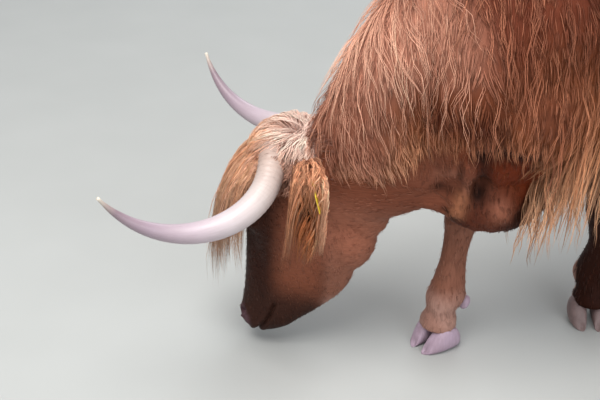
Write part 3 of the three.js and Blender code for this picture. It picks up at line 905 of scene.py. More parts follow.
def hornFinish():
    finish = Finish("horn", Specular_IOR_Level=0.5, Coat_Weight=0.15, Coat_Roughness=0.25)
    along, around = finish.attribute("along", 2), finish.attribute("round", 2)
    stops = [(place, tone(code)) for place, code in horn["colours"]]
    colour = finish.node("ValToRGB", {"stops": stops}, {"Fac": along})
    cloud = finish.noise(9.0, 4.0)
    fibres = finish.node("CombineXYZ", inputs={"X": along * 14, "Y": around * 26})
    grain = finish.noise(1.0, 4.0, vector=fibres)
    colour = finish.mix(cloud * 0.35, colour, tone(horn["cloud"]), "MULTIPLY")
    colour = finish.mix((grain - 0.45) * 0.5, colour, tone(horn["grain"]))
    rings = finish.node("CombineXYZ", inputs={"X": along * 160, "Y": around * 5})
    crack = finish.noise(1.0, 3.0, vector=rings)
    nearRoot = finish.node("Clamp", inputs={"Value": 1 - along * 4.2})
    dark = finish.node("Clamp", inputs={"Value": (crack - 0.56) * 9 * nearRoot})
    colour = finish.mix(dark * 0.6, colour, tone(horn["cracks"]))
    finish.set(Base_Color=colour, Roughness=0.30 + 0.25 * cloud)
    finish.bump(grain * 0.6 - dark * 0.8, 0.5, 0.0012)
    return finish.material


def floatAttribute(mesh, name, values):
    fill(mesh.attributes.new(name, "FLOAT", "POINT").data, "value", values)


def tinted(mesh, colours):
    layer = mesh.color_attributes.new("coat", "FLOAT_COLOR", "POINT")
    fill(layer.data, "color", np.concatenate([np.clip(colours, 0, 1), np.ones((len(colours), 1))], 1))


hornMaterial = hornFinish()
sideNames = {1: "left", -1: "right"}
horns = []
for side, word in sideNames.items():
    (points, faces), t = hornForm(side)
    horns.append((fromHead(points), faces))
    made = makeObject(f"horn_{word}_shape", fromHead(points), faces, hornMaterial)
    around = np.tile(np.abs(np.arange(horn["sides"]) / horn["sides"] - 0.5) * 2, horn["rings"] + 1)
    floatAttribute(made.data, "along", np.concatenate([np.repeat(t, horn["sides"]), [0, 1]]))
    floatAttribute(made.data, "round", np.concatenate([around, [0, 0]]))
    squareUp(made)
    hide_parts(f"horn_{word}")
    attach(made, "root")


class Ground:
    # the skin as triangles, for roots to be spread on and for hair to lie on

    def __init__(self, made):
        mesh = made.data
        mesh.calc_loop_triangles()
        count = len(mesh.loop_triangles)
        corners, loops = np.empty(count * 3, np.int32), np.empty(count * 3, np.int32)
        mesh.loop_triangles.foreach_get("vertices", corners)
        mesh.loop_triangles.foreach_get("loops", loops)
        self.corners, self.loops = corners.reshape(-1, 3), loops.reshape(-1, 3)
        self.points = pointValues(mesh, "co") - withers
        self.normals = pointValues(mesh, "normal")
        flat = np.empty(len(mesh.loops) * 2, np.float32)
        mesh.uv_layers["unwrap"].data.foreach_get("uv", flat)
        self.unwrap = flat.reshape(-1, 2)
        a, b, c = (self.points[self.corners[:, k]] for k in range(3))
        self.area = np.linalg.norm(np.cross(b - a, c - a), axis=1) / 2
        self.middle = (a + b + c) / 3
        points, faces = self.points.tolist(), self.corners.tolist()
        for more, sides in horns:
            faces += [tuple(i + len(points) for i in side) for side in sides]
            points += more.tolist()
        self.tree = BVHTree.FromPolygons(points, faces)

    def scatter(self, weight, count):
        # roots spread by weight over the skin, in random order: places, outward ways, places on the unwrap
        load = np.cumsum(self.area * np.asarray(weight, float))
        pick = np.searchsorted(load, (np.arange(count) + dice.random(count)) / count * load[-1])
        pick = np.minimum(pick, len(load) - 1)
        dice.shuffle(pick)
        a, b = dice.random(count), dice.random(count)
        a, b = np.where(a + b > 1, 1 - a, a), np.where(a + b > 1, 1 - b, b)
        share = np.stack([1 - a - b, a, b], 1)[..., None]
        corners = self.corners[pick]
        return ((self.points[corners] * share).sum(1), unit((self.normals[corners] * share).sum(1)),
                (self.unwrap[self.loops[pick]] * share).sum(1))

    def nearest(self, points):
        # the closest places on the skin and the horns, and their outward ways
        found = [self.tree.find_nearest(p) for p in points.tolist()]
        return np.array([f[0][:] for f in found]), np.array([f[1][:] for f in found])


ground = Ground(skin)


def hairFinish():
    finish = Finish("coat_hair", Roughness=0.5, Specular_IOR_Level=0.2)
    colour = finish.attribute("coat")
    grain = finish.noise(1.0, 3.0, 0.6, finish.stretched((420, 420, 30)))
    colour = finish.mix((grain - 0.35) * 0.9, colour, (0.55, 0.45, 0.38), "MULTIPLY")
    finish.set(Base_Color=colour)
    finish.bump(grain, 0.25, 0.001)
    return finish.material


strand = {   # how far the strands of a lock differ, their places on the map, and the size of a piece
    "depth": (0.12, 1.0), "length": (0.72, 1.0), "width": (0.65, 1.15), "lockPhase": 0.32, "ownPhase": 0.3,
    "mapPatch": 0.003, "mostTriangles": 190000,
}


def strandMesh(name, paths, rises, widths, colours, roots, thick):
    # closed three-sided strands, each with its small patch on the map, at its root's place on the unwrap
    count, steps = paths.shape[:2]
    rings = steps - 1
    way = unit(np.gradient(paths, axis=1))
    side = unit(np.cross(rises, way))
    up = unit(np.cross(way, side))
    share = np.linspace(0, 1, steps)
    shape = np.minimum(1, 0.6 + 1.6 * share) * (1 - share) ** 0.6
    half = (widths[:, None] * shape / 2)[..., None]
    low = paths - up * half * thick * 0.6   # the flat underside; the third edge is the ridge
    ridge = paths + up * half * thick * 1.4
    ring = np.stack([low - side * half, low + side * half, ridge], 2)[:, :rings]
    points = np.concatenate([ring.reshape(count, rings * 3, 3), paths[:, -1:]], 1)
    each = rings * 3 + 1
    loops, starts, patch = [], [], []

    def addFace(corners, places):
        starts.append(len(loops))
        loops.extend(corners)
        patch.extend(places)

    for i in range(rings):
        below, above = (i + 0.6) / (rings + 1), (i + 1.6) / (rings + 1)
        for j in range(3):
            a, b = i * 3 + j, i * 3 + (j + 1) % 3
            left, right = j / 3, (j + 1) / 3
            if i < rings - 1:
                places = [(left, below), (right, below), (right, above), (left, above)]
                addFace([a, b, b + 3, a + 3], places)
            else:   # the tip
                addFace([a, b, each - 1], [(left, below), (right, below), ((j + 0.5) / 3, 1.0)])
    addFace([2, 1, 0], [(0.0, 0.0), (1.0, 0.0), (0.5, 0.6 / (rings + 1))])
    loops, starts, number = np.array(loops), np.array(starts), np.arange(count)[:, None]
    patch = (np.array(patch) - 0.5) * strand["mapPatch"]
    mesh = bpy.data.meshes.new(name)
    mesh.vertices.add(count * each)
    fill(mesh.vertices, "co", points + withers)
    mesh.loops.add(count * len(loops))
    fill(mesh.loops, "vertex_index", loops + number * each, np.int32)
    mesh.polygons.add(count * len(starts))
    fill(mesh.polygons, "loop_start", starts + number * len(loops), np.int32)
    mesh.update(calc_edges=True)
    fill(mesh.polygons, "use_smooth", np.ones(count * len(starts)), bool)
    fill(mesh.uv_layers.new(name="OFBake").data, "uv", patch + roots[:, None])
    colours = np.concatenate([np.repeat(colours[:, :rings], 3, 1), colours[:, -1:]], 1)
    tinted(mesh, colours.reshape(-1, 3))
    return placed(name, mesh, hairMaterial)


def combed(roots, normals, length, depth, flow, weight, plan):
    # guides that run with the flow and lie on the skin at their own depth
    steps, cling, stiff = plan["steps"], plan["cling"], 0.45
    flow = flow - normals * (cling * (flow * normals).sum(1))[:, None]
    here, way = roots.copy(), unit(normals * plan["spring"] + flow)
    rise = normals.copy()
    paths, rises = [roots - normals * 0.002], [rise]
    for k in range(1, steps):
        t = k / (steps - 1)
        want = unit(flow + np.array([0, 0, -1]) * (weight * t)[:, None])
        way = unit(way * stiff + want * (1 - stiff))
        here = here + way * (length / (steps - 1))[:, None]
        close, out = ground.nearest(here)
        height = ((here - close) * out).sum(1)
        layer = 0.0015 + depth * min(1, t / 0.4)   # a strand comes to its own depth by up to 2 cm a step
        here = here + out * np.clip(layer - height, -0.02 * cling, 0.02)[:, None]
        flow = flow - out * (cling * (flow * out).sum(1))[:, None]
        rise = unit(rise * 0.6 + out * 0.4)
        paths.append(here)
        rises.append(rise)
    return np.stack(paths, 1), np.stack(rises, 1)


def clumped(points, paths, count, pull):
    # locks that run together towards their tips
    heads = dice.choice(len(points), min(count, len(points)), replace=False)
    apart = (points[heads] ** 2).sum(1) - 2 * points @ points[heads].T
    share = np.linspace(0, 1, paths.shape[1])
    return paths + (paths[heads[np.argmin(apart, axis=1)]] - paths) * (pull * share ** 1.5)[:, None]


def grow(name, plan):
    # locks of a few strands each, by the plan's numbers and functions
    plan = {**usual, **plan}
    points, normals, unwrap = ground.scatter(plan["where"](ground.middle), plan["locks"])
    many, steps = len(points), plan["steps"]
    share = np.linspace(0, 1, steps)

    def value(key):
        return plan[key](points) if callable(plan[key]) else np.full(many, float(plan[key]))

    length = value("length") * dice.uniform(1 - plan["uneven"], 1 + plan["uneven"], many)
    depth = value("depth") * dice.uniform(*strand["depth"], many)
    flow = unit(plan["flow"](points, normals) + dice.normal(0, plan["stray"], (many, 3)))
    paths, rises = plan["guide"](points, normals, length, depth, flow, value("weight"), plan)
    if plan["clump"]:
        paths = clumped(points, paths, *plan["clump"])
    side = unit(np.cross(unit(np.gradient(paths, axis=1)), rises))
    phase = 3 * ripple(points, plan["patch"], 11) + dice.normal(0, strand["lockPhase"], many)
    swing = (value("wave") * (0.6 + 0.4 * ripple(points, 0.2, 12)))[:, None]
    mean, light = plan["colours"](points)
    tint = 1 + 0.12 * ripple(points, 0.11, 13) + 0.08 * ripple(points, 0.04, 14)
    tint = (tint + dice.normal(0, plan["mottle"], many))[:, None]
    turns = length[:, None] * share / plan["wavelength"]
    spread = plan["spread"] * (1 - plan["gather"] * share)
    made, row = [], np.arange(many)[:, None]
    for _ in range(plan["strands"]):
        a, b = dice.uniform(-1, 1, many)[:, None], dice.uniform(-0.5, 1, many)[:, None]
        angle = 2 * math.pi * turns + (phase + dice.normal(0, strand["ownPhase"], many))[:, None]
        sideways = a * spread + swing * np.sin(angle) * ease(0.02, 0.35, share)
        outward = 0.35 * b * spread * ease(0, 0.2, share)
        outward = outward + 0.3 * swing * np.cos(angle) * ease(0.1, 0.5, share)
        place = share * dice.uniform(*strand["length"], many)[:, None] * (steps - 1)
        low = np.minimum(place.astype(int), steps - 2)
        part = (place - low)[..., None]
        body = paths[row, low] * (1 - part) + paths[row, low + 1] * part
        body = body + side * sideways[..., None] + rises * outward[..., None]
        pale = (dice.random(many) < plan["pale"]) * dice.uniform(0.5, 1.0, many)
        # each strand is darker at its root by the plan's root share, partly painted shade deep in the coat
        root = mean * plan["root"] * tint
        tip = (mean + (light - mean) * (plan["lift"] + (1 - plan["lift"]) * pale)[:, None]) * tint
        colour = root[:, None] + (tip - root)[:, None] * ease(0.0, 0.55, share)[:, None]
        # painted shade: darker towards the tips of the hanging locks
        colour = colour * (1 - plan["fade"] * ease(0.45, 0.95, share))[:, None]
        wide = value("width") * dice.uniform(*strand["width"], many) * (1 - 0.3 * pale)
        made.append((body, rises, wide, colour, unwrap))
    made = [np.concatenate(parts) for parts in zip(*made)]
    count = len(made[0])
    triangles = count * ((steps - 2) * 6 + 4)
    pieces = math.ceil(triangles / strand["mostTriangles"])
    order = np.argsort(made[0][:, 0, 1])   # from head to tail, so that each piece is one stretch
    result = []
    for k, chosen in enumerate(np.array_split(order, pieces)):
        title = name if pieces == 1 else f"{name}_{k + 1}"
        result.append(strandMesh(title, *(values[chosen] for values in made), plan["thick"]))
    print(f"{name}: {count} strands, {triangles} triangles, {pieces} pieces")
    return result


def bodyFlow(points, normals):
    # down and a little back, forwards behind the elbow, off the back to both sides and back along the neck
    x, y, z = points.T
    flow = np.zeros((len(points), 3))
    flow[:, 2] = -1
    flow[:, 1] = 0.10 - 0.62 * bell(y, -0.05, 0.17) * ease(0.95, 0.72, z) * (np.abs(x) > 0.1)
    top = ease(0.50, 0.90, normals[:, 2]) * ease(-0.25, -0.10, y)   # off the back to both sides
    flow[:, 0] = np.sign(x) * (0.25 * ease(0.9, 1.1, z) + 0.75 * np.minimum(np.abs(x) / 0.03, 1) * top)
    flow[:, 1] += 0.55 * top
    along = np.array([0.50, 0.70, 0.0])
    return flow + along * (0.02 + 0.56 * ease(-0.30, -0.46, y))[:, None] * ease(-0.05, -0.25, y)[:, None]


def shortFlow(points, normals):
    # down the legs and the face, and back under the throat
    flow = np.tile(np.array([0.0, 0.15, -1.0]), (len(points), 1))
    under = ease(-0.28, -0.33, points[:, 1]) * ease(0.04, 0.0, toHead(points)[:, 2])
    flow = blended(flow, headAxes @ np.array([0.0, 0.9, 0.35]), under)
    flow[headPart(points)] = headAxes @ np.array([0, 0.35, -1.0])
    return flow


def onBody(points):
    # the long coat, without the head and the ears
    return longCoat(points) * ~headPart(points) * (1 - earMask(points))


hairMaterial = hairFinish()
usual = {   # what a plan has where it says nothing else
    "flow": bodyFlow, "guide": combed, "cling": 0.0, "spring": 0.6, "clump": None, "thick": 0.45,
    "colours": coatColour, "fade": 0.0,
}
coats = grow("coat_under", {
    "where": lambda p: onBody(p) * (1 + 0.5 * ease(0.3, 0.0, p[:, 1])),
    "locks": 6300, "strands": 4, "steps": 4, "uneven": 0.3, "stray": 0.13, "weight": 0.2, "cling": 0.6,
    "length": lambda p: np.minimum(0.058, 0.035 + np.clip(hairLine(p), 0, 1)),
    "depth": lambda p: np.minimum(0.007, 0.003 + 0.2 * np.clip(hairLine(p), 0, 1)),
    "clump": (800, 0.4), "patch": 0.3, "wave": 0.001, "wavelength": 0.06, "gather": 0.35, "spread": 0.011,
    "width": 0.0028, "thick": 0.14, "pale": 0.15, "lift": 0.12, "root": 0.92, "mottle": 0.05,
})
coats += grow("coat_over", {
    "where": lambda p: onBody(p) * (1.1 + 0.6 * ease(-0.25, 0.0, p[:, 1])) * ease(-0.02, 0.10, hairLine(p)),
    "locks": 1800, "strands": 3, "steps": 8, "uneven": 0.25, "stray": 0.12, "weight": 0.8, "depth": 0.017,
    "length": lambda p: np.clip(np.minimum(p[:, 2] - 0.36, 0.03 + np.clip(hairLine(p), 0, 1) * 0.9),
                                0.04, 0.22 - 0.07 * ease(0.75, 1.0, p[:, 1])),
    "patch": 0.40, "wave": 0.0115, "wavelength": 0.14, "gather": 0.6, "spread": 0.006, "width": 0.0020,
    "pale": 0.8, "lift": 0.5, "root": 0.95, "mottle": 0.12,
})


def crestLine(y):
    # how far out the top of the neck runs
    return np.interp(y, [-0.46, -0.25, -0.10], [-0.26, -0.10, 0.0])


def crestFlow(points, normals):
    # off the crest of the neck to both sides, then back and down
    x, y, z = points.T
    aside = np.clip((x - crestLine(y)) * 14, -1, 1)
    return np.stack([0.65 * aside + 0.10, 0.12 + 0 * y, -0.60 + 0 * z], 1)


def crestMask(points):
    # a band along the top of the neck, as wide as a hand
    x, y, z = points.T
    band = bell(x - crestLine(y), 0, 0.07) * ease(-0.42, -0.37, y) * ease(0.10, -0.06, y)
    return onBody(points) * band


coats += grow("crest_hair", {
    "where": lambda p: crestMask(p) * (ground.normals[ground.corners[:, 0], 2] > 0.15),
    "locks": 500, "strands": 3, "steps": 9, "uneven": 0.3, "stray": 0.14, "weight": 1.2, "cling": 0.6,
    "length": 0.17, "depth": 0.026, "flow": crestFlow, "patch": 0.25, "wave": 0.008, "wavelength": 0.12,
    "gather": 0.6, "spread": 0.008, "width": 0.0022, "pale": 0.8, "lift": 0.4, "root": 0.9, "mottle": 0.08,
})
coats += grow("coat_chest", {
    "where": lambda p: onBody(p) * (p[:, 1] < -0.12) * (hairLine(p) < 0.06),
    "locks": 200, "strands": 3, "steps": 6, "uneven": 0.4, "stray": 0.16, "weight": 0.6,
    "length": 0.055, "depth": 0.010, "patch": 0.2, "wave": 0.003, "wavelength": 0.08, "gather": 0.6,
    "spread": 0.006, "width": 0.0020, "pale": 0.8, "lift": 0.5, "root": 0.7, "mottle": 0.1,
})


def skirtLength(points):
    # longest behind the elbow and under the belly, short in the flank
    y = points[:, 1]
    along = 0.05 * bell(y, 0.00, 0.13) + 0.03 * bell(y, 0.42, 0.15) - 0.035 * bell(y, 0.72, 0.10)
    return 0.105 + along + 0.035 * ripple(points, 0.22, 21)


def skirtMask(points):
    # along the flanks and the belly, thickest behind the elbow
    x, y, z = points.T
    low = (z < 0.66) * (y > -0.15) * (0.35 + ease(0.60, 0.50, z))
    return onBody(points) * low * (1 + 1.6 * bell(y, -0.08, 0.10))


coats += grow("coat_skirt", {
    "where": skirtMask,
    "locks": 860, "strands": 4, "steps": 8, "uneven": 0.35, "stray": 0.14, "weight": 1.0,
    "length": skirtLength, "depth": 0.020, "patch": 0.25, "wave": 0.006, "wavelength": 0.11, "gather": 0.6,
    "spread": 0.010, "width": 0.0036, "pale": 0.5, "lift": 0.3, "root": 0.75, "mottle": 0.1,
})
flatCoat = {   # hair that lies flat, on the legs, throat and face
    "strands": 2, "steps": 4, "uneven": 0.3, "stray": 0.12, "weight": 0.0, "spring": 0.05, "cling": 1.0,
    "flow": shortFlow, "patch": 0.2, "wavelength": 0.05, "gather": 0.3, "thick": 0.12, "pale": 0.4,
    "lift": 0.2, "root": 1.0, "mottle": 0.08,
}
coats += grow("coat_short", {
    **flatCoat, "locks": 3000, "depth": 0.0016, "wave": 0.0005, "spread": 0.004, "width": 0.0024,
    "where": lambda p: (1 - longCoat(p)) * ~headPart(p) * (1 - earMask(p)) * (p[:, 2] > 0.062),
    "length": lambda p: 0.020 + 0.010 * ease(0.45, 0.5, p[:, 2]) + 0.012 * bell(p[:, 2], 0.12, 0.03),
})
coats += grow("coat_face", {
    **flatCoat, "locks": 2800, "depth": 0.0010, "wave": 0.0003, "spread": 0.003, "width": 0.0018,
    "where": lambda p: headPart(p) * (toHead(p)[:, 2] > -0.45) * 1.0,
    "length": lambda p: 0.014 + 0.012 * ease(-0.16, -0.05, toHead(p)[:, 2]),
})


def onHead(low, high):
    # a test for roots inside a box in the head's own frame
    def test(points):
        head = toHead(points)
        return np.all((head > np.array(low)) & (head < np.array(high)), axis=1) * 1.0
    return test


def intoPose(path, rise):
    # guides and their outward ways, from the head's own frame to the cow's
    posed = fromHead(path.reshape(-1, 3)).reshape(path.shape)
    return posed, (rise.reshape(-1, 3) @ headAxes.T).reshape(path.shape)


def fringeGuide(points, normals, length, depth, flow, weight, plan):
    # the forelock: out over the brow, then hanging clear of the face
    head, many = toHead(points), len(points)
    back = ease(-0.08, 0.06, head[:, 1])
    out = -0.088 - depth - 0.018 * back   # how far before the poll it turns down
    fan = head[:, 0] * dice.uniform(1.0, 1.6, many)
    bend = np.clip(np.abs(fan) / 0.13, 0, 1.15) ** 2   # the curtain bends round the face, shorter there
    reach = length * (0.86 + 0.14 * back) * (1 - 0.36 * bend)
    knee = np.stack([fan * 0.95, out * 0.66 + 0.03 * bend, 0.018 + 0.3 * depth], 1)
    low = np.stack([fan, out - 0.056 + 0.08 * bend, -0.42 * reach], 1)
    aside = dice.normal(0, 0.010, many)
    tip = np.stack([fan * 0.9, out - 0.024 + 0.085 * bend + aside, head[:, 2] * 0.4 - reach], 1)
    t = np.linspace(0, 1, plan["steps"])[:, None]
    path = bezier(head[:, None], knee[:, None], low[:, None], tip[:, None], t)
    rise = unit(path * (1, 1, 0) + (0, -0.03, 0) + ease(0.25, 0.0, t) * (0, 0, 0.2))
    return intoPose(path, rise)


def lockColours(points):
    # ginger, with some of the pale hair of the crown
    share = 0.1 + 0.4 * dice.random(len(points))
    return blended(shades["lock"][0], shades["poll"][0], share), shades["lock"][1]


coats += grow("forelock_hair", {
    "where": onHead((-0.098, -0.12, -0.075), (0.098, 0.030, 0.06)),
    "locks": 560, "strands": 5, "steps": 9, "uneven": 0.30, "stray": 0.1, "weight": 0.5,
    "length": 0.40, "depth": 0.038, "clump": (40, 0.82), "guide": fringeGuide, "patch": 0.1, "wave": 0.009,
    "wavelength": 0.15, "gather": 0.5, "spread": 0.010, "width": 0.0029, "pale": 0.6, "lift": 0.25,
    # painted shade darkens the lower part of the forelock
    "root": 0.62, "mottle": 0.18, "colours": lockColours, "fade": 0.4,
})

crown = {   # a mound between the horns, and the whorl that its hair leaves from
    "middle": (0, 0.012, 0.0), "half": (0.116, 0.082, 0.050), "whorl": (0.0, 0.055),
}


def crownGuide(points, normals, length, depth, flow, weight, plan):
    # away from the whorl, over the mound and down past its rim
    many, steps = len(points), plan["steps"]
    middle, half = np.array(crown["middle"]), np.array(crown["half"]) + depth[:, None]
    here = toHead(points) - middle
    aim = unit(np.pad(toHead(points)[:, :2] - crown["whorl"], ((0, 0), (0, 1))))
    aim = unit(aim + dice.normal(0, 0.22, (many, 3)) * (1, 1, 0))
    step = length * (1 - 0.60 * ease(0.5, 0.9, np.abs(aim[:, 0]))) / (steps - 1)
    paths, rises = [here.copy()], [here / half ** 2]
    for k in range(1, steps):
        here = here + unit(aim + np.array([0, 0, -0.2 - 1.3 * k / steps])) * step[:, None]
        high = here[:, 2:] > 0
        above = here * np.where(high, (1, 1, 1), (1, 1, 0))
        onto = above / np.linalg.norm(above / half, axis=1)[:, None]
        here = np.where(high, onto, onto + here * (0, 0, 1))
        paths.append(here)
        rises.append(here * np.where(high, (1, 1, 1), (1, 1, 0)) / half ** 2)
    return intoPose(np.stack(paths, 1) + middle, unit(np.stack(rises, 1)))


def crownColours(points):
    # palest at the whorl, ginger over the brow, and as dark as the neck behind and at the sides
    # the pale poll tone is partly painted light from above
    x, y, z = toHead(points).T
    brow, nape = 0.95 * ease(0.038, -0.040, y), 0.85 * ease(0.055, 0.095, y + 0.25 * np.abs(x))
    nape = np.maximum(nape, 0.85 * ease(0.022, 0.090, np.abs(x)))
    return [blended(blended(shades["poll"][k], shades["lock"][k], brow), shades["neck"][k], nape)
            for k in (0, 1)]


coats += grow("crown_hair", {
    "where": onHead((-0.145, -0.055, -0.045), (0.145, 0.135, 0.09)),
    "locks": 1050, "strands": 4, "steps": 7, "uneven": 0.35, "stray": 0.10, "weight": 0.9,
    "length": 0.125, "depth": 0.014, "clump": (110, 0.5), "guide": crownGuide, "patch": 0.2, "wave": 0.004,
    "wavelength": 0.09, "gather": 0.4, "spread": 0.009, "width": 0.0025, "pale": 0.6, "lift": 0.5,
    "root": 0.84, "mottle": 0.15, "colours": crownColours,
})


def earGuide(points, normals, length, depth, flow, weight, plan):
    # up off the top of the ear, then down before or behind its hollow
    head, many = toHead(points), len(points)
    side, across = np.sign(head[:, 0]), np.clip(earPlace(points)[0], -1, 1.3)
    top = ease(-0.070, -0.010, head[:, 2])
    rear = ((across > 0.42) | (ripple(points, 0.03, 31) * top > 0.1)) * 1.0
    short = top * (dice.random(many) < 0.20)   # a few that only cover the top of the hollow
    away = side * (0.004 + depth + 0.026 * top + 0.012 * short)
    lift = (0.008 + 0.050 * top) * dice.uniform(0.7, 1.1, many)
    # where it hangs: before the hollow, behind it, or short in the middle
    heart = (0.064 + 0.070 * rear) * (1 - short) + dice.normal(0.108, 0.006, many) * short
    length = length * (1 - short) + short * dice.uniform(0.030, 0.055, many)
    own = ease(-0.02, -0.08, head[:, 2])   # low on the ear, hair keeps to its own place
    heart = heart + (head[:, 1] - heart) * 0.75 * own
    knee = head + np.stack([away * 0.6, 0.022 * rear * top, lift], 1)
    overY = head[:, 1] + (heart - head[:, 1]) * (0.78 + 0.22 * rear * top) + 0.012 * (rear - 0.3) * top
    overZ = head[:, 2] + lift * 0.9 - 0.12 * length * (1 - top)
    over = np.stack([head[:, 0] + away * 1.3, overY, overZ], 1)
    tipY = heart + (head[:, 1] - heart) * 0.08 + dice.normal(0, 0.006 - 0.002 * rear, many)
    tip = np.stack([side * 0.168 + away * 0.6, tipY, head[:, 2] - length * (1 - 0.2 * rear)], 1)
    t = np.linspace(0, 1, plan["steps"])[:, None]
    path = bezier(head[:, None], knee[:, None], over[:, None], tip[:, None], t)
    rise = unit(np.stack([side, across * 0.4, 0.2 + 0 * across], 1))[:, None]
    return intoPose(path, unit(rise + ease(0.6, 0.0, t) * (0, 0, 1.2)))


def earColours(points):
    # pale over the top and down the back of the ear, ginger in front
    top = 0.5 * ease(-0.04, 0.0, toHead(points)[:, 2])
    share = np.maximum(ease(0.1, 0.6, earPlace(points)[0]), top)
    return [blended(shades["ear"][k], shades["earBack"][k], share) for k in (0, 1)]


def earRoots(points):
    # most on the top of the ear, and none in its hollow
    top = ease(-0.06, 0.0, toHead(points)[:, 2])
    return earMask(points) * (1 - 0.95 * earHollow(points)) * (1 + 2.2 * top)


coats += grow("ear_hair", {
    "where": earRoots,
    "locks": 720, "strands": 4, "steps": 9, "uneven": 0.25, "stray": 0.06, "weight": 1.0,
    "length": lambda p: np.clip(0.200 + toHead(p)[:, 2] - 0.03 * np.abs(earPlace(p)[0]), 0.05, 0.21),
    "depth": 0.012, "guide": earGuide, "patch": 0.1, "wave": 0.0045, "wavelength": 0.10, "gather": 0.85,
    "spread": 0.005, "width": 0.0023, "pale": 0.5, "lift": 0.32, "root": 0.66, "mottle": 0.22,
    # painted shade makes the tips of the ear's hair a little darker
    "colours": earColours, "fade": 0.2,
})


def tailMask(points):
    # thin on the dock, thick on the switch
    x, y, z = points.T
    return (y > 1.105) * (np.abs(x) < 0.05) * (z < 1.02) * (0.25 + 2.2 * (z < 0.78))


coats += grow("tail_hair", {
    "where": tailMask,
    "locks": 330, "strands": 4, "steps": 9, "uneven": 0.2, "stray": 0.06, "weight": 1.0,
    "length": lambda p: 0.07 + 0.33 * ease(0.80, 0.66, p[:, 2]), "depth": 0.012,
    "flow": lambda p, n: n * 0.15 + np.array([0, 0, -1.0]), "patch": 0.3, "wave": 0.006,
    "wavelength": 0.14, "gather": 0.4, "spread": 0.009, "width": 0.0036, "pale": 0.4,
    "lift": 0.25, "root": 0.75, "mottle": 0.08,
})

claw = {
    "rows": [  # from the toe back to the heel: place, half width, top
        (-0.0605, 0.006, 0.010), (-0.0505, 0.016, 0.028), (-0.0265, 0.024, 0.054),
        (-0.0005, 0.026, 0.068), (0.0275, 0.023, 0.052), (0.0515, 0.012, 0.026)],
    "apart": 0.029, "rings": 36, "sides": 32, "square": 2.6, "rounding": 0.06,
    "spurMiddle": (0.022, 0.066, 0.104), "spurHalf": (0.012, 0.014, 0.018), "spurLean": -25,
    "pale": ("8d7580", "c4adc2"), "brown": ("5a4542", "97817f"), "streaks": "4a3a36",
}


def clawForm(side):
    sides = claw["sides"]
    t = np.linspace(0, 1, claw["rings"] + 1)
    back, wide, top = through(claw["rows"], t).T
    widest = max(row[1] for row in claw["rows"])
    lean = side * claw["apart"] - side * (widest - wide)[:, None] * 0.5
    for away in (claw["rounding"] - t, t - 1 + claw["rounding"]):   # both ends are rounded off
        close = np.sqrt(1 - 0.75 * np.clip(away / claw["rounding"], 0, 1) ** 2)
        wide, top = wide * close, top * close
    across, up = ringShape(sides, claw["square"])
    up = 0.5 + 0.5 * up
    x = lean + wide[:, None] * across * (1 - 0.22 * up)
    y = back[:, None] + 0.012 * up * (1 - t[:, None])
    points = np.stack([x, y, top[:, None] * up], -1)
    ends = np.stack([points[0].mean(0), points[-1].mean(0)])
    return np.concatenate([points.reshape(-1, 3), ends]), closedFaces(len(t), sides)


def clawFinish(name, base, pale):
    finish = Finish(name)
    cloud = finish.noise(22.0, 4.0)
    rings = finish.noise(1.0, 3.0, vector=finish.stretched((30, 30, 420)))
    streaks = finish.noise(1.0, 3.0, vector=finish.stretched((160, 160, 12)))
    colour = finish.mix(cloud, tone(base), tone(pale))
    colour = finish.mix((streaks - 0.4) * 0.6, colour, tone(claw["streaks"]))
    finish.set(Base_Color=colour, Roughness=0.35 + 0.3 * rings)
    finish.bump(rings * 0.7 + streaks * 0.3, 0.5, 0.0010)
    return finish.material


paleClaw, brownClaw = clawFinish("claw_pale", *claw["pale"]), clawFinish("claw_brown", *claw["brown"])
for (end, side), (x, y, out) in feet.items():
    axes = turn(z=out)
    shell = brownClaw if (end, side) == ("front", 1) else paleClaw
    for half, word in sideNames.items():
        where = f"{end}_{sideNames[side]}_{word}"
        spur = ball(np.array(claw["spurMiddle"]) * (half, 1, 1), claw["spurHalf"], claw["spurLean"])
        forms = {"claw": ("hoof", clawForm(half)), "spur": ("dewclaw", spur)}
        for kind, (node, (points, faces)) in forms.items():
            made = makeObject(f"{kind}_{where}", points @ axes.T + (x, y, 0), faces, shell)
            squareUp(made)
            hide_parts(f"{node}_{where}")
            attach(made, "root")


eye = {   # radii on the ball, and colours
    "iris": 0.0122, "pupil": (0.0068, 0.0034), "white": "cbbdb2", "veins": "8a5a4a", "brown": "2a160c",
    "spokes": "4a2a15", "rim": "120a0c", "black": "06060c",
}


def eyeFinish():
    finish = Finish("eye", Roughness=0.06, Coat_Weight=1.0, Coat_Roughness=0.02)
    finish.set(Base_Color=finish.attribute("coat"))
    return finish.material


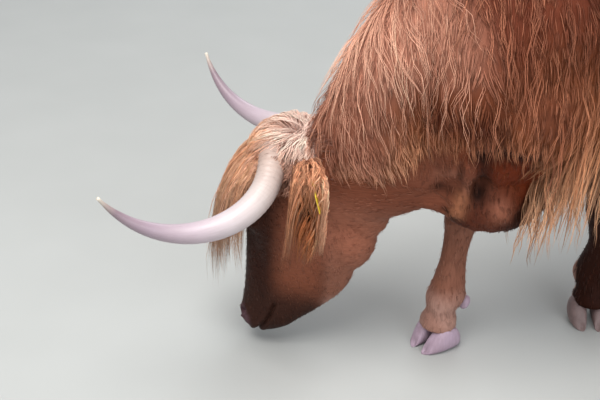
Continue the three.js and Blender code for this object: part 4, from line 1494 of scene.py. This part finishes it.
eyeMaterial = eyeFinish()
for side, word in sideNames.items():
    middle, out, across, up = eyeFrame(side)
    points, faces = ball((0, 0, 0), (face["eyeRadius"] - 0.0002,) * 3, rings=90, sides=128,
                         axes=np.stack([across, up, out], 1))
    made = makeObject(f"eye_{word}_ball", fromHead(points + middle), faces, eyeMaterial)
    p, q, r = points @ across, points @ up, points @ out
    far = np.hypot(p, q)
    iris = ease(eye["iris"], eye["iris"] - 0.0006, far) * (r > 0)
    pupil = ease(1.06, 0.94, np.hypot(p / eye["pupil"][0], q / eye["pupil"][1])) * (r > 0)
    spokes = 0.5 + 0.5 * np.sin(np.arctan2(q, p) * 46 + 2 * np.sin(far * 900))
    colour = np.array(tone(eye["white"]))
    for shade, share in (
            ("veins", 0.5 * ease(0.013, 0.018, far)), ("brown", iris),
            ("spokes", iris * spokes * ease(0.0045, 0.008, far) * 0.8),
            ("rim", ease(0.0104, 0.0118, far) * iris), ("black", pupil)):
        colour = blended(colour, tone(eye[shade]), share)
    tinted(made.data, colour)
    squareUp(made)
    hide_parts(f"eye_{word}")
    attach(made, "root")
print("horns, claws and eyes")


def skinFinish():
    finish = Finish("skin_and_short_coat", Specular_IOR_Level=0.12)
    colour = finish.attribute("coat")
    hanging = finish.noise(1.0, 4.0, 0.6, finish.stretched((230, 230, 30)))
    turning = {"Vector": finish.place(), "Rotation": (0.06, 0.12, math.radians(-37.5))}
    turned = finish.node("Mapping", inputs=turning)   # along the neck
    level = finish.noise(1.0, 4.0, 0.6, finish.stretched((26, 200, 260), turned))
    lie = hanging + (level - hanging) * finish.attribute("level", 2)
    patch = finish.noise(14.0, 3.0)
    colour = finish.mix((lie - 0.40) * 1.4, colour, (0.50, 0.42, 0.38), "MULTIPLY")
    colour = finish.mix((patch - 0.45) * 0.6, colour, (0.70, 0.62, 0.56), "MULTIPLY")
    finish.set(Base_Color=colour, Roughness=0.5 + 0.25 * patch)
    finish.bump(lie + 0.3 * patch, 0.8, 0.0024)
    return finish.material


level = ease(-0.26, -0.32, ground.points[:, 1]) * (hairLine(ground.points) < 0.03)
jaw = headPart(ground.points) * ease(-0.02, 0.04, toHead(ground.points)[:, 1])
floatAttribute(skinMesh, "level", np.maximum(jaw, level))
# the skin under the long coat is painted darker, as the shade between the strands
tinted(skinMesh, coatColour(ground.points)[0] * (1 - 0.18 * longCoat(ground.points))[:, None])
skinMesh.materials.append(skinFinish())
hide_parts("trunk", "neck", "dewlap", "head", "forelock", "ear_left", "ear_right", "leg_front_left",
            "leg_front_right", "leg_back_left", "leg_back_right", "tail", "tail_switch")
for piece in [skin] + coats:
    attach(piece, "root")


def tagFinish():
    finish = Finish("tag", Roughness=0.45, Specular_IOR_Level=0.45)
    dirt = finish.noise(60.0, 4.0)
    finish.set(Base_Color=finish.mix((dirt - 0.35) * 0.9, tone("d8b92e"), tone("8c7430")))
    return finish.material


tagMaterial = tagFinish()
for piece in bpy.context.scene.objects:
    if piece.name.startswith("ear_tag"):
        piece.data.materials.clear()
        piece.data.materials.append(tagMaterial)
